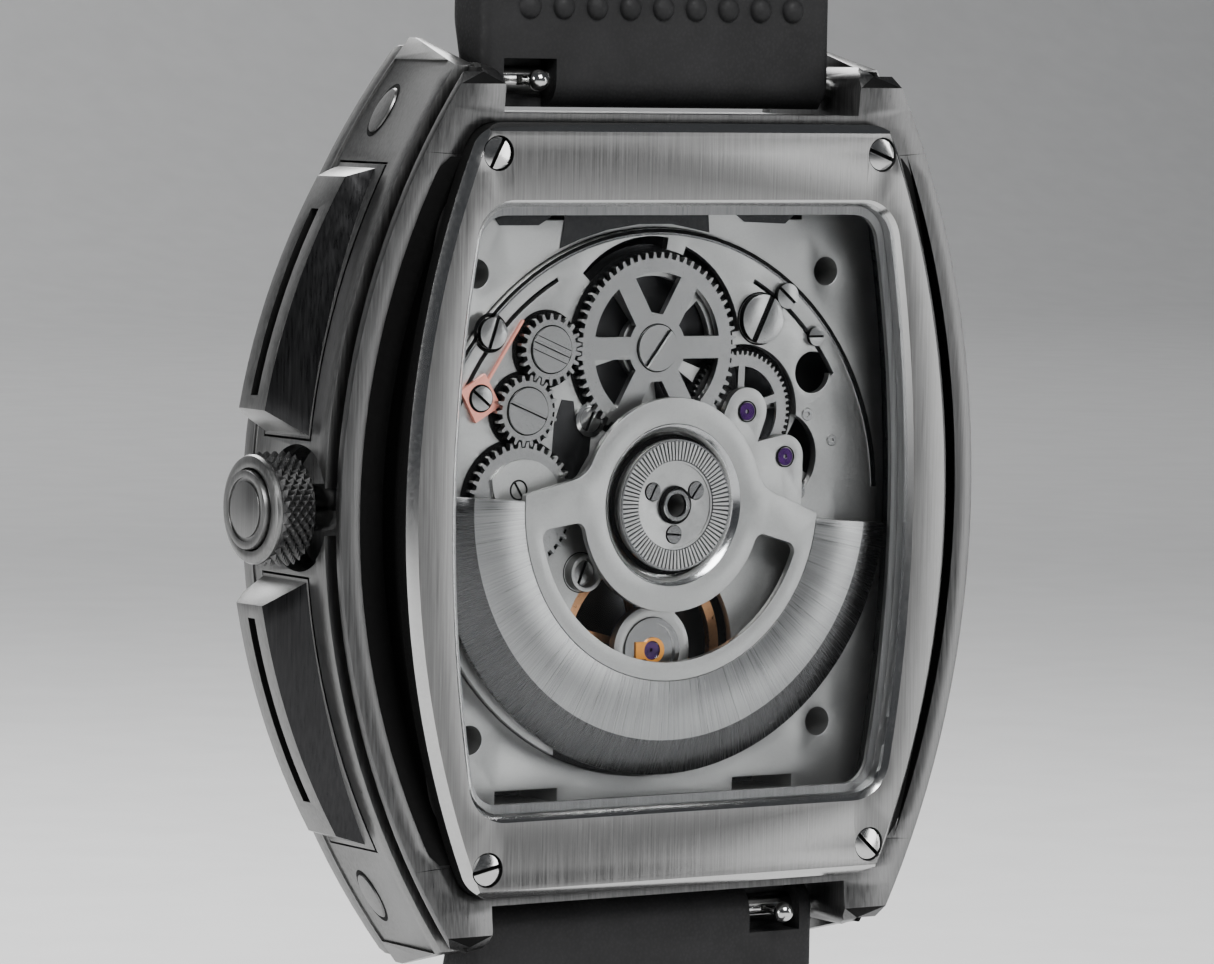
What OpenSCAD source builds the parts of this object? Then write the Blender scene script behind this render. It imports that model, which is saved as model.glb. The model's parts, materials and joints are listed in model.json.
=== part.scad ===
// Automatic wristwatch seen as an assembly: tonneau case, skeleton automatic movement,
// crown and pushers, and a two-piece rubber strap on quick-release spring bars.
// Every module draws in watch coordinates: x towards the crown, y towards 12 o'clock and
// z as depth from the outer face of the case back towards the dial. watch() then turns
// them into the part's own frame, where +Z is 12 o'clock and +Y points at the wrist.

/* [Case] */
// Half width of the case at its widest, without crown
case_w = 19.65; // [19.4:0.05:19.9]
// Radius of the bulged case sides
case_r = 41.9; // [41:0.1:43]
// Half length of the steel lugs
lug_h = 22.7; // [22.5:0.1:22.9]
// Half length of the side plates
side_h = 23.8; // [23.6:0.1:24]
// Depth of the front edge of the case at the middle
front_d = 11.75; // [11.7:0.05:11.9]
// Radius of the curved case front, seen from the side
front_r = 103; // [100:1:110]
// Depth of the rear flange at the middle
flange_d = 2.0; // [1.95:0.05:2.05]
// Radius of the curved rear flange, seen from the side
flange_r = 196; // [190:1:200]
// Distance between the lugs
lug_gap = 22; // [21.9:0.1:22.1]

/* [Case back] */
// Half width of the back plate
plate_w = 16.8; // [16.7:0.05:16.9]
// Half height of the back plate
plate_h = 19.65; // [19.5:0.05:19.7]
// Thickness of the back plate
plate_t = 1.2; // [1.15:0.05:1.2]
// Half width of the window
window_w = 14.35; // [14.2:0.05:14.4]
// Half height of the window
window_h = 15.75; // [15.6:0.05:15.8]

/* [Crown and pushers] */
// Radius of the crown
crown_r = 2.93; // [2.8:0.01:3]
// Depth of the crown axis
crown_d = 6.6; // [6.5:0.05:6.7]
// Depth of the centre line of the pushers
pusher_d = 8.1; // [8:0.05:8.2]

/* [Movement] */
// Outer radius of the winding weight
rotor_r = 14.05; // [13.9:0.01:14.1]
// Outer radius of the main plate
movement_r = 14.2; // [14.1:0.05:14.3]
// Teeth of the ratchet wheel
ratchet_n = 62; // [62:1:62]

/* [Strap] */
// Thickness of the rubber strap
strap_t = 2.8; // [2.6:0.1:2.8]
// Bend radius of the strap's middle layer
strap_r = 46; // [44:1:48]
// Bend of the short half, in degrees
short_bend = 52; // [48:1:54]
// Bend of the long half, in degrees
long_bend = 70; // [68:1:72]

/* [Hidden] */
$fn = 96;
arc_fn = 360;
gap = 0.05;

steel = "#8c8c8a";
bright = "#c9c8c4";
dark = "#1b1b1d";
rubber = "#2b2b2c";
gilt = "#c98a52";
jewel_red = "#5a2a68";

module watch() rotate([90, 0, 0]) children();
module slab(d, t) translate([0, 0, d]) linear_extrude(t) children();
function sag(r, y) = r - sqrt(r * r - y * y);

// Tonneau outline: half width w, half height h, side radius r, corner radius c
module tonneau(w, h, r, c) {
    yc = h - c;
    xc = w - r + sqrt(pow(r - c, 2) - yc * yc);
    yt = r * yc / (r - c);
    intersection() {
        sides(w, r);
        union() {
            square([2 * xc, 2 * h], center = true);
            square([2 * w, 2 * yt], center = true);
            for (sx = [-1, 1], sy = [-1, 1]) translate([sx * xc, sy * yc]) circle(c);
        }
    }
}
// The region between the two bulged sides
module sides(w, r) intersection_for(s = [-1, 1]) translate([s * (w - r), 0]) circle(r, $fn = arc_fn);

// Round plate with one chamfered rim: the chamfer is at z = 0
module drum(r, t, ch) rotate_extrude($fn = r > 10 ? arc_fn : $fn)
    polygon([[0, 0], [r - ch, 0], [r, ch], [r, t], [0, t]]);

// Tonneau plate with a chamfer all round its z = 0 face
module soft_tonneau(w, h, r, c, t, ch) {
    yc = h - c;
    xc = w - r + sqrt(pow(r - c, 2) - yc * yc);
    yt = r * yc / (r - c);
    intersection() {
        translate([w - r, 0, 0]) drum(r, t, ch);
        translate([r - w, 0, 0]) drum(r, t, ch);
        union() {
            rotate([90, 0, 90]) linear_extrude(2 * xc, center = true)
                polygon([[-h, ch], [ch - h, 0], [h - ch, 0], [h, ch], [h, t], [-h, t]]);
            translate([-w, -yt, 0]) cube([2 * w, 2 * yt, t]);
            for (sx = [-1, 1], sy = [-1, 1]) translate([sx * xc, sy * yc, 0]) drum(c, t, ch);
        }
    }
}

// Space between two curved surfaces that are seen as arcs from the side of the watch
module curved(d1, r1, d2, r2, half_len = 30)
    rotate([90, 0, 90]) linear_extrude(60, center = true) difference() {
        intersection() {
            translate([0, d2 - r2]) circle(r2, $fn = arc_fn);
            translate([-half_len, -6]) square([2 * half_len, 26]);
        }
        translate([0, d1 - r1]) circle(r1, $fn = arc_fn);
    }

module case_outline(inset, h) intersection() {
    sides(case_w - inset, case_r - inset);
    square([2 * case_w, 2 * h], center = true);
}
module plate_outline(grow) tonneau(plate_w + grow, plate_h + grow, plate_side_r + grow, plate_corner + grow);
module window_outline(grow) tonneau(window_w + grow, window_h + grow, window_r + grow, window_c + grow);
plate_side_r = 48.5;
plate_corner = 1.9;
window_r = 78;
window_c = 2.3;
screw_x = 11.9;
screw_y = 18.1;
wall = 1.0;
cavity = 0.6;
groove_d = 3.6;
bezel_t = 0.8;
bezel_h = 23.4;
body_front = front_d - bezel_t;
cove_d = 3.4;
cove_r = 74;
rib_w = 1.1;
case_end = 20.1;
bar_y = 21.75;
bar_d = 4.5;
stem_r = 0.6;
tube_r = 1.2;

// ---- case ------------------------------------------------------------------
module mid_case() watch() color(steel) difference() {
    union() {
        intersection() {
            slab(0, 5) case_outline(0, lug_h);
            curved(flange_d, flange_r, flange_d + 0.5, flange_r);
            lug_rounding();
        }
        intersection() {
            slab(0, 14) case_outline(wall, lug_h);
            curved(flange_d + 0.1, flange_r, body_front - 0.02, front_r);
            lug_rounding();
        }
        slab(plate_t, 2.5) plate_outline(-0.45);
    }
    // recess for the back plate, cavity for the movement, groove for the gasket
    slab(-1, plate_t + 1) plate_outline(gap);
    slab(-1, 20) window_outline(cavity);
    slab(plate_t - 0.01, 0.41) difference() {
        window_outline(1.52);
        window_outline(0.98);
    }
    // cove beside the back plate, running out towards the lugs
    intersection() {
        slab(-1, 6) difference() {
            case_outline(rib_w, plate_h - 0.3);
            plate_outline(-0.45);
        }
        curved(-9, 900, cove_d, cove_r, plate_h - 0.3);
    }
    // strap gaps
    for (s = [-1, 1]) translate([0, s * (case_end + 5), 5]) cube([lug_gap, 10, 24], center = true);
    for (sx = [0, 1], sy = [0, 1]) mirror([sx, 0, 0]) mirror([0, sy, 0]) slab(-1, 6) translate([lug_gap / 2, lug_h])
        polygon([[-0.2, 0.2], [-0.2, -1.3], [0, -1.3], [0.1, -0.7], [0.4, -0.3], [0.9, -0.05], [1.2, 0.2]]);
    for (sx = [-1, 1], sy = [-1, 1]) {
        translate([sx * screw_x, sy * screw_y, 0]) cylinder(r = 0.5, h = 3.8);
        translate([sx * (lug_gap / 2 - 0.5), sy * bar_y, bar_d]) rotate([0, sx * 90, 0]) cylinder(r = 0.5, h = 1.5);
    }
    translate([12, 0, crown_d]) rotate([0, 90, 0]) cylinder(r = tube_r + 0.01, h = 9);
    translate([17.6, 0, crown_d]) rotate([0, 90, 0]) cylinder(r = crown_r + 0.3, h = 6);
    for (s = [-1, 1]) pusher_well(s);
}
// Blunted ends of the lugs, seen from the side
module lug_rounding() rotate([90, 0, 90]) linear_extrude(60, center = true)
    polygon(concat(
        [for (q = lug_tip) [-q[0], q[1]]],
        [for (i = [len(lug_tip) - 1:-1:0]) [lug_tip[i][0], lug_tip[i][1]]]));
lug_tip = [[lug_h, 20], [lug_h, 2.4], [lug_h - 0.45, 1.3], [lug_h - 1.7, 0.4], [lug_h - 1.7, -9]];

module groove_band() watch() color(dark) intersection() {
    slab(0, 8) difference() {
        case_outline(wall - 0.3, 22.4);
        case_outline(wall - 0.01, 23);
        square([2 * 12.2, 60], center = true);
    }
    curved(flange_d + 0.55, flange_r, groove_d - 0.02, flange_r);
    union() {
        translate([-25, -30, 0]) cube([25, 60, 8]);
        difference() {
            translate([0, -30, 0]) cube([25, 60, 8]);
            translate([12, 0, crown_d]) rotate([0, 90, 0]) cylinder(r = crown_r + 0.3, h = 12);
        }
    }
}

module side_shell(s) intersection() {
    slab(0, 14) difference() {
        case_outline(0, side_h);
        case_outline(wall - 0.02, 30);
        translate([s * -20, 0]) square([64, 60], center = true);
    }
    curved(groove_d, flange_r, body_front, front_r);
    tip_profile();
}
// Slanted ends of the side plates and the bezel, seen from the side
module tip_profile() rotate([90, 0, 90]) linear_extrude(60, center = true)
    polygon(concat([for (q = tip) [-q[0], q[1]]], [for (i = [len(tip) - 1:-1:0]) tip[i]]));
tip = [[22.4, 2], [side_h, 7.5], [side_h, 8.3], [side_h - 0.5, 8.9], [side_h - 2.8, 13]];
// Shallow sunk panel on the outer face of a side plate
module panel_cut() intersection() {
    slab(0, 14) difference() {
        case_outline(-1, panel_h);
        case_outline(panel_sink, 30);
    }
    curved(groove_d + 0.9, flange_r, body_front - 0.1, front_r);
}
panel_h = 22.7;
panel_sink = 0.12;

module side_plate_crown() watch() color(steel) difference() {
    side_shell(1);
    panel_cut();
    translate([17.6, 0, crown_d]) rotate([0, 90, 0]) cylinder(r = crown_r + 0.3, h = 6);
    translate([12, 0, crown_d]) rotate([0, 90, 0]) cylinder(r = tube_r + 0.01, h = 9);
    for (s = [-1, 1]) pusher_opening(s, 0.12);
}
module side_plate_left() watch() color(steel) difference() {
    side_shell(-1);
    panel_cut();
}

module front_bezel() watch() color(steel) difference() {
    intersection() {
        slab(0, 14) case_outline(0, bezel_h);
        curved(body_front + 0.01, front_r, front_d, front_r);
        tip_profile();
    }
    slab(0, 20) window_outline(-0.35);
    for (s = [-1, 1]) translate([0, s * (case_end + 5), 10]) cube([lug_gap, 10, 14], center = true);
}

// Domed crystal seated in the front of the case
module front_crystal() watch() color("#cfd6da", 0.35) intersection() {
    slab(0, 14) window_outline(-0.4);
    curved(body_front - 0.35, front_r, front_d + 0.15, front_r);
}

module chamfered_plate() intersection() {
    slab(0, plate_t) plate_outline(0);
    for_both() translate([plate_w - plate_side_r, 0, 0]) drum(plate_side_r, plate_t, plate_ch);
    rotate([90, 0, 90]) linear_extrude(60, center = true)
        polygon([[-plate_h, plate_ch], [plate_ch - plate_h, 0], [plate_h - plate_ch, 0],
            [plate_h, plate_ch], [plate_h, plate_t], [-plate_h, plate_t]]);
}
plate_ch = 0.45;
module for_both() intersection_for(s = [0, 1]) mirror([s, 0, 0]) children();
module back_plate() watch() color(steel) difference() {
    chamfered_plate();
    translate([0, 0, rim_d]) mirror([0, 0, 1])
        soft_tonneau(window_w, window_h, window_r, window_c, rim_d + 0.01, rim_d);
    slab(-1, crystal_d + crystal_t + 1.1) window_outline(-rim_d);
    slab(-1, 4) window_outline(-ledge_in);
    for (sx = [-1, 1], sy = [-1, 1]) translate([sx * screw_x, sy * screw_y, 0]) {
        translate([0, 0, -1]) cylinder(r = 0.9, h = 1.62);
        translate([0, 0, -1]) cylinder(r = 0.5, h = 4);
    }
}
rim_d = 0.35;
ledge_in = 0.8;
crystal_d = 0.12;
crystal_t = 0.7;

module back_crystal() watch() color("#d7dcde", 0.3)
    slab(crystal_d, crystal_t) window_outline(-rim_d - 0.05);
module back_gasket() watch() color(dark) slab(plate_t, 0.39) difference() {
    window_outline(1.5);
    window_outline(1.0);
}
// Slotted screw: head radius r, head height h, shank radius s and length l, slot angle a
module slot_screw(r, h, s, l, a) {
    difference() {
        cylinder(r = r, h = h);
        rotate([0, 0, a]) translate([0, 0, 0]) cube([3 * r, r * 0.26, h * 0.9], center = true);
    }
    translate([0, 0, h]) cylinder(r = s, h = l);
}
module back_screws() watch() color(bright) {
    slots = [[1, 1, -62], [-1, 1, 20], [1, -1, -12], [-1, -1, 42]];
    for (p = slots) translate([p[0] * screw_x, p[1] * screw_y, 0.12]) slot_screw(0.8, 0.48, 0.45, 2.9, p[2]);
}
module crown_tube() watch() color(bright)
    translate([15.1, 0, crown_d]) rotate([0, 90, 0]) difference() {
        cylinder(r = tube_r, h = 4.2);
        translate([0, 0, -1]) cylinder(r = stem_r + 0.06, h = 7);
    }

// ---- dial side -------------------------------------------------------------
module dial_ring() watch() color(dark) slab(8.3, 0.4) difference() {
    window_outline(0.1);
    tonneau(10.2, 11.6, 60, 2.5);
}
// Radial bars at the twelve hours, from an inner to an outer tonneau
module hour_markers() watch() color(bright) slab(8.7, 0.3) intersection() {
    difference() {
        window_outline(-0.9);
        tonneau(11.2, 12.6, 60, 2.5);
    }
    for (i = [0:11]) rotate(i * 30) translate([0, 8.5]) square([i % 3 == 0 ? 1.4 : 0.8, 17], center = true);
}

// ---- movement --------------------------------------------------------------
module_m = 0.1552;
wheel_a_n = 22;
crown_wheel_n = 40;
ratchet_pos = [0.38, 8.05];
dir_a = 0;
dir_b = -66;
dir_c = -87;
wheel_a_pos = ratchet_pos + polar(module_m * (ratchet_n + wheel_a_n) / 2, dir_a);
wheel_b_pos = wheel_a_pos + polar(module_m * wheel_a_n, dir_b);
crown_wheel_pos = wheel_b_pos + polar(module_m * (wheel_a_n + crown_wheel_n) / 2, dir_c);
third_pos = [-5.41, 4.65];
fourth_pos = [-7.89, 2.24];
balance_pos = [0.27, -7.63];
escape_dist = 3.3;
escape_pos = fourth_pos + polar(escape_dist, atan2(balance_pos[1] - fourth_pos[1], balance_pos[0] - fourth_pos[0]));
dir_pallet = atan2(balance_pos[1] - escape_pos[1], balance_pos[0] - escape_pos[0]);
pallet_pos = escape_pos + polar(2.6, dir_pallet);
wheel_d = 2.55;
third_n = 60;
pinion_n = 8;
centre_n = 64;
fourth_n = 70;
escape_leaves = 7;
fourth_dist = norm(fourth_pos - third_pos);
fourth_dir = atan2(fourth_pos[1] - third_pos[1], fourth_pos[0] - third_pos[0]);
third_m = 2 * fourth_dist / (third_n + pinion_n);
centre_m = 2 * norm(third_pos) / (centre_n + pinion_n);
third_dir = atan2(third_pos[1], third_pos[0]);

function polar(r, a) = [r * cos(a), r * sin(a)];
// Turn of the second gear that puts it in mesh with the first, along direction dir
function mesh_turn(turn, n1, dir, n2) = dir + 180 - (turn - dir) * n1 / n2 + 180 / n2;

turn_a = mesh_turn(dir_a, ratchet_n, dir_a, wheel_a_n);
turn_b = mesh_turn(turn_a, wheel_a_n, dir_b, wheel_a_n);
turn_c = mesh_turn(turn_b, wheel_a_n, dir_c, crown_wheel_n);

// Gear outline with n straight-sided teeth of module m, first tooth at angle turn
module gear(n, m, turn) {
    p = 360 / n;
    tip = m * (n / 2 + 0.85);
    root = m * (n / 2 - 1.15);
    polygon([for (i = [0:n - 1], k = [[root, -0.26], [tip, -0.12], [tip, 0.12], [root, 0.26]])
        polar(k[0], turn + (i + k[1]) * p)]);
}
// Spoke windows between an inner and an outer radius
module spokes(count, inner, outer, width, turn) difference() {
    circle(outer);
    circle(inner);
    for (i = [0:count - 1]) rotate(turn + i * 360 / count) translate([0, -width / 2]) square([outer + 1, width]);
}

module movement_holder() watch() color(bright) difference() {
    slab(3.5, 3.6) difference() {
        window_outline(cavity - 0.05);
        circle(movement_r + 0.04);
        for (sx = [-1, 1], sy = [-1, 1]) {
            translate([sx * 7.4, sy * 15.0]) square([3.8, 0.75], center = true);
            translate([sx * 10.9, sy * 11.9]) circle(0.75);
        }
    }
    translate([12, 0, crown_d]) rotate([0, 90, 0]) cylinder(r = 0.9, h = 6);
}
module main_plate() watch() color(bright) difference() {
    slab(5.2, 2.6) circle(movement_r);
    slab(4, 6) circle(0.62);
    // pocket for the centre wheel and bore for the stem
    slab(6.9, 4) circle(centre_m * (centre_n / 2 + 1) + 0.3);
    slab(5, 6) translate(third_pos) circle(1.3);
    translate([7, 0, crown_d]) rotate([0, 90, 0]) cylinder(r = stem_r + 0.06, h = 12);
    translate([8.7, -2, 5]) cube([4.4, 4, 5]);
    for (p = [fourth_pos, escape_pos, balance_pos, pallet_pos]) translate([p[0], p[1], 5]) cylinder(r = 0.26, h = 0.9);
}
arbor_r = 0.5;
stud_r = 0.4;
bridge_d = 3.15;
// Stretch of a ring between two angles of less than half a turn
module arc_slot(inner, outer, from, to) intersection() {
    difference() {
        circle(outer);
        circle(inner);
    }
    polygon([[0, 0], polar(3 * outer, from), polar(3 * outer, (from + to) / 2), polar(3 * outer, to)]);
}
post_pos = [4.52, -3.48];
module barrel_bridge() watch() color(bright) difference() {
    union() {
        slab(bridge_d, 0.45) difference() {
            circle(movement_r);
            circle(0.62);
            // openings for the balance, the train and the winding wheels' arbors
            translate(balance_pos) circle(5.3);
            translate([-10, -15]) square([16, 7]);
            translate(third_pos) circle(3.5);
            translate(fourth_pos) circle(2.35);
            // openings round and under the ratchet wheel
            translate(ratchet_pos) {
                arc_slot(4.2, 5.75, 42, 100);
                arc_slot(4.2, 5.6, 112, 172);
                arc_slot(1.8, 3.7, 10, 52);
                arc_slot(1.8, 3.7, 66, 128);
                arc_slot(1.8, 3.7, 140, 200);
                arc_slot(1.8, 3.7, 215, 262);
                arc_slot(1.8, 3.7, 280, 345);
            }
            // cut-outs beside the third wheel and along the rim
            translate([-9.9, 6.6]) circle(1.1);
            arc_slot(13.0, 13.25, 20, 62);
            arc_slot(12.8, 13.05, 118, 150);
            for (p = [ratchet_pos, crown_wheel_pos]) translate(p) circle(arbor_r + 0.06);
            for (p = [wheel_a_pos, wheel_b_pos]) translate(p) circle(stud_r + 0.05);
        }
        // tube round the screw beside the balance
        translate([post_pos[0], post_pos[1], bridge_d - 0.65]) ring(0.95, 0.74, 0.7);
    }
    for (p = bridge_screw_list) translate([p[0], p[1], 2]) cylinder(r = 0.34, h = 3);
}
module train_bridge() watch() color(bright) difference() {
    slab(2.65, 0.45) difference() {
        union() {
            hull() {
                translate(third_pos) circle(1.25, $fn = 32);
                translate([-3.9, 1.2]) circle(1.4, $fn = 32);
            }
            hull() {
                translate(fourth_pos) circle(1.15, $fn = 32);
                translate([-3.9, 1.2]) circle(1.4, $fn = 32);
                translate([-8.1, -0.4]) circle(0.9, $fn = 32);
            }
        }
        for (p = [third_pos, fourth_pos]) translate(p) circle(0.46, $fn = 24);
    }
}
module balance_cock() watch() color(bright) slab(2.75, 0.5) difference() {
    union() {
        translate(balance_pos) circle(2.35);
        translate(balance_pos) rotate(-52) translate([0, -1.3]) square([6.2, 2.6]);
        translate(balance_pos) rotate(115) translate([0, -0.5]) square([3.6, 1]);
    }
    translate(balance_pos) circle(1.72);
}
module jewels() watch() color(jewel_red) {
    for (p = [third_pos, fourth_pos]) translate([p[0], p[1], 2.6]) ring(0.45, 0.12, 0.45);
    translate([balance_pos[0], balance_pos[1], 2.78]) ring(0.48, 0.1, 0.35);
}
module ring(outer, inner, t) difference() {
    cylinder(r = outer, h = t);
    translate([0, 0, -1]) cylinder(r = inner, h = t + 2);
}
module shock_setting() watch() color(gilt) translate([balance_pos[0], balance_pos[1], 2.65]) {
    ring(1.7, 1.42, 0.6);
    translate([0, 0, 0.14]) ring(1.45, 0.5, 0.4);
    // lyre spring that holds the jewel
    difference() {
        translate([-0.1, 0, 0.04]) union() {
            cylinder(r = 0.66, h = 0.12);
            translate([0, -0.45, 0]) cube([1.1, 0.9, 0.12]);
        }
        translate([0, 0, -1]) cylinder(r = 0.5, h = 3);
    }
}
// Screws of the bridges: position, head radius, slot angle and depth
bridge_screw_list = [[-6.43, 9.46, 1.28, 116, 2.75], [-8.02, 10.64, 0.66, 40, 2.8], [10.23, 8.91, 0.8, 108, 2.8],
                     [10.9, 5.6, 0.62, 38, 2.78], [4.12, 4.39, 0.62, 114, 3.02], [4.52, -3.48, 0.66, 112, 2.95],
                     [-10.0, 8.5, 0.5, 0, 2.9]];
module bridge_screws() watch() color(bright)
    for (p = bridge_screw_list) translate([p[0], p[1], p[4]])
        slot_screw(p[2], bridge_d - p[4] - 0.01, 0.32, 0.4, p[3]);
module click_spring() watch() color("#d98a78") {
    translate([10.9, 5.6, 2.9]) difference() {
        rotate([0, 0, -30]) translate([-0.85, -0.95, 0]) cube([1.7, 1.9, 0.24]);
        translate([0, 0, -1]) cylinder(r = 0.7, h = 3);
    }
    translate([10.6, 6.35, 2.92]) rotate([0, 0, 124]) cube([3.9, 0.12, 0.2]);
}
module crown_wheel_cover() watch() color(bright) translate([crown_wheel_pos[0], crown_wheel_pos[1], 2.4]) {
    difference() {
        linear_extrude(0.14) intersection() {
            circle(2.35);
            translate([-0.6, 1.35]) circle(2.5);
        }
        translate([0, 0, -1]) cylinder(r = 0.3, h = 3);
    }
}

// ---- rotor -----------------------------------------------------------------
rotor_d = 1.35;
rotor_turn = 4.4;
seam_r = 9.1;
module rotor_half(drop) rotate([0, 0, rotor_turn]) translate([-20, -40 - drop, 0]) cube([40, 40, 10]);
module rotor_weight() watch() color(bright) difference() {
    intersection() {
        rotate_extrude($fn = 180) polygon([[seam_r + 0.02, rotor_d], [12.18, rotor_d], [rotor_r, 2.05],
            [rotor_r, 2.35], [seam_r + 0.02, 2.35]]);
        rotor_half(0.27);
    }
}
hub_r = 5.55;
arm_fillet = 1.6;
arm_end = [-9.1, 0.05];
arm_root = [-5.2, 1.3];
module rotor_plate() watch() color(bright) rotate([0, 0, rotor_turn]) difference() {
    union() {
        slab(rotor_d, 0.4) circle(hub_r);
        slab(rotor_d, 0.4) intersection() {
            circle(seam_r, $fn = 180);
            polygon([arm_end, arm_root, [-arm_root[0], arm_root[1]], [-arm_end[0], arm_end[1]],
                [12, -0.3], [12, -12], [-12, -12], [-12, -0.3]]);
        }
        for (s = [0, 1]) mirror([s, 0, 0]) slab(rotor_d, 0.4) arm_corner();
    }
    slab(0, 4) circle(4.2);
    slab(0, 4) rounded_sector(hub_r, 8.15, -168, -12, 0.5);
}
// Hollow corner between the hub and the top edge of an arm
module arm_corner() {
    along = (arm_root - arm_end) / norm(arm_root - arm_end);
    up = [-along[1], along[0]];
    rise = up * arm_end + arm_fillet;
    centre = rise * up - sqrt(pow(hub_r + arm_fillet, 2) - rise * rise) * along;
    start = atan2(-up[1], -up[0]);
    turn = atan2(-centre[1], -centre[0]) - start;
    polygon(concat([[0.6 * arm_root[0], 0]],
        [for (i = [-0.5:arm_steps + 0.5]) centre + polar(arm_fillet, start + turn * i / arm_steps)]));
}
arm_steps = 12;
// Stretch of a ring below the centre, with corners of radius c
module rounded_sector(inner, outer, from, to, c) {
    mid = (inner + outer) / 2;
    below_sector(inner, mid, from + asin(c / (inner + c)), to - asin(c / (inner + c)));
    below_sector(mid - 0.1, outer, from + asin(c / (outer - c)), to - asin(c / (outer - c)));
    below_sector(inner + c, outer - c, from, to);
    for (r = [inner + c, outer - c], k = [-1, 1]) {
        a = (from + to) / 2 + k * ((to - from) / 2 - asin(c / r));
        translate(polar(r, a)) circle(c);
    }
}
module below_sector(inner, outer, from, to) intersection() {
    difference() {
        circle(outer);
        circle(inner);
    }
    polygon([[0, 0], polar(20, from), polar(20, (2 * from + to) / 3), polar(20, (from + 2 * to) / 3), polar(20, to)]);
}
// Outer race of the ball bearing, with a conical visible rim
module rotor_hub_ring() watch() color(bright) rotate_extrude()
    polygon([[3.62, 1.75], [4.18, 1.3], [4.18, 2.1], [3.62, 2.1]]);
module bearing_disc() watch() color(bright) difference() {
    union() {
        slab(1.2, 0.35) circle(3.4);
        slab(1.5, 1.6) circle(2.0);
    }
    slab(0, 1.3) circle(2.2);
    slab(0, 6) circle(0.62);
    for (a = bearing_screw_dirs) translate([1.52 * cos(a), 1.52 * sin(a), 1]) cylinder(r = 0.5, h = 0.6);
}
bearing_screw_dirs = [28, 152, 270];
module bearing_screws() watch() color(bright)
    for (a = bearing_screw_dirs) translate([1.52 * cos(a), 1.52 * sin(a), 1.24])
        slot_screw(0.45, 0.35, 0.2, 0.005, a == 270 ? 5 : a == 28 ? 118 : -52);

// ---- winding wheels --------------------------------------------------------
module ratchet_wheel() watch() color(bright) translate([ratchet_pos[0], ratchet_pos[1], wheel_d]) {
    linear_extrude(0.4) difference() {
        gear(ratchet_n, module_m, dir_a);
        spokes(6, 1.75, 3.9, 1.15, 0);
    }
    translate([0, 0, -0.13]) slot_screw(1.19, 0.14, 0.5, 0.01, 128);
    cylinder(r = arbor_r, h = 2.3);
}
module barrel_drum() watch() color(gilt) translate([ratchet_pos[0], ratchet_pos[1], 3.75]) difference() {
    cylinder(r = 5.3, h = 1.3);
    translate([0, 0, -1]) cylinder(r = arbor_r + 0.06, h = 2.2);
}
module screwed_wheel(pos, n, turn, slot) translate([pos[0], pos[1], wheel_d]) {
    linear_extrude(0.4) gear(n, module_m, turn);
    translate([0, 0, -0.1]) slot_screw(1.18, 0.11, stud_r, 0.9, slot);
}
module winding_wheel_a() watch() color(bright) screwed_wheel(wheel_a_pos, wheel_a_n, turn_a, 22);
module winding_wheel_b() watch() color(bright) screwed_wheel(wheel_b_pos, wheel_a_n, turn_b, 22);
module crown_wheel() watch() color(bright) translate([crown_wheel_pos[0], crown_wheel_pos[1], wheel_d]) {
    linear_extrude(0.4) gear(crown_wheel_n, module_m, turn_c);
    cylinder(r = arbor_r, h = 1.8);
    translate([0, 0, 1.6]) cylinder(r = 2.6, h = 0.35);
}

// ---- going train -----------------------------------------------------------
escape_dir = atan2(escape_pos[1] - fourth_pos[1], escape_pos[0] - fourth_pos[0]);
escape_m = 2 * escape_dist / (fourth_n + escape_leaves);
turn_third = fourth_dir;
turn_fourth = mesh_turn(turn_third, third_n, fourth_dir, pinion_n);
module third_wheel() watch() color(bright) translate([third_pos[0], third_pos[1], 0]) {
    slab(3.3, 0.2) difference() {
        gear(third_n, third_m, turn_third);
        spokes(5, 0.75, 2.35, 0.4, 20);
    }
    translate([0, 0, 2.7]) cylinder(r = 0.1, h = 0.7);
    translate([0, 0, 3.3]) cylinder(r = 0.3, h = 3.7);
    slab(6.95, 0.4) gear(pinion_n, centre_m, mesh_turn(third_dir, centre_n, third_dir, pinion_n));
}
module fourth_wheel() watch() color(bright) translate([fourth_pos[0], fourth_pos[1], 0]) {
    slab(3.25, 0.3) gear(pinion_n, third_m, turn_fourth);
    slab(3.7, 0.2) difference() {
        gear(fourth_n, escape_m, escape_dir);
        spokes(4, 0.5, 2.5, 0.4, 30);
    }
    translate([0, 0, 2.7]) cylinder(r = 0.1, h = 0.7);
    translate([0, 0, 3.4]) cylinder(r = 0.2, h = 2.4);
}
fork_l = norm(balance_pos - pallet_pos) - 0.9;
// Fifteen raked teeth on a light rim
module escape_wheel() watch() color(bright) translate([escape_pos[0], escape_pos[1], 0]) {
    slab(4.45, 0.2) difference() {
        union() {
            circle(1.35);
            for (i = [0:14]) rotate(i * 24) polygon([[1.2, -0.16], [1.75, 0.1], [1.72, 0.2], [1.2, 0.16]]);
        }
        spokes(4, 0.4, 1.05, 0.25, 0);
    }
    slab(3.65, 0.3) gear(escape_leaves, escape_m, mesh_turn(escape_dir, fourth_n, escape_dir, escape_leaves));
    translate([0, 0, 3.7]) cylinder(r = 0.15, h = 2);
}
module pallet_fork() watch() color(bright) translate([pallet_pos[0], pallet_pos[1], 0]) {
    translate([0, 0, 3.9]) cylinder(r = 0.2, h = 1.9);
    slab(4.45, 0.2) rotate(dir_pallet) difference() {
        union() {
            circle(0.4);
            translate([0, -0.15]) square([fork_l, 0.3]);
            translate([fork_l - 0.3, -0.35]) square([0.45, 0.7]);
            translate([-0.25, -1.45]) square([0.5, 2.9]);
        }
        translate([fork_l - 0.1, -0.15]) square([0.5, 0.3]);
    }
}
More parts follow.
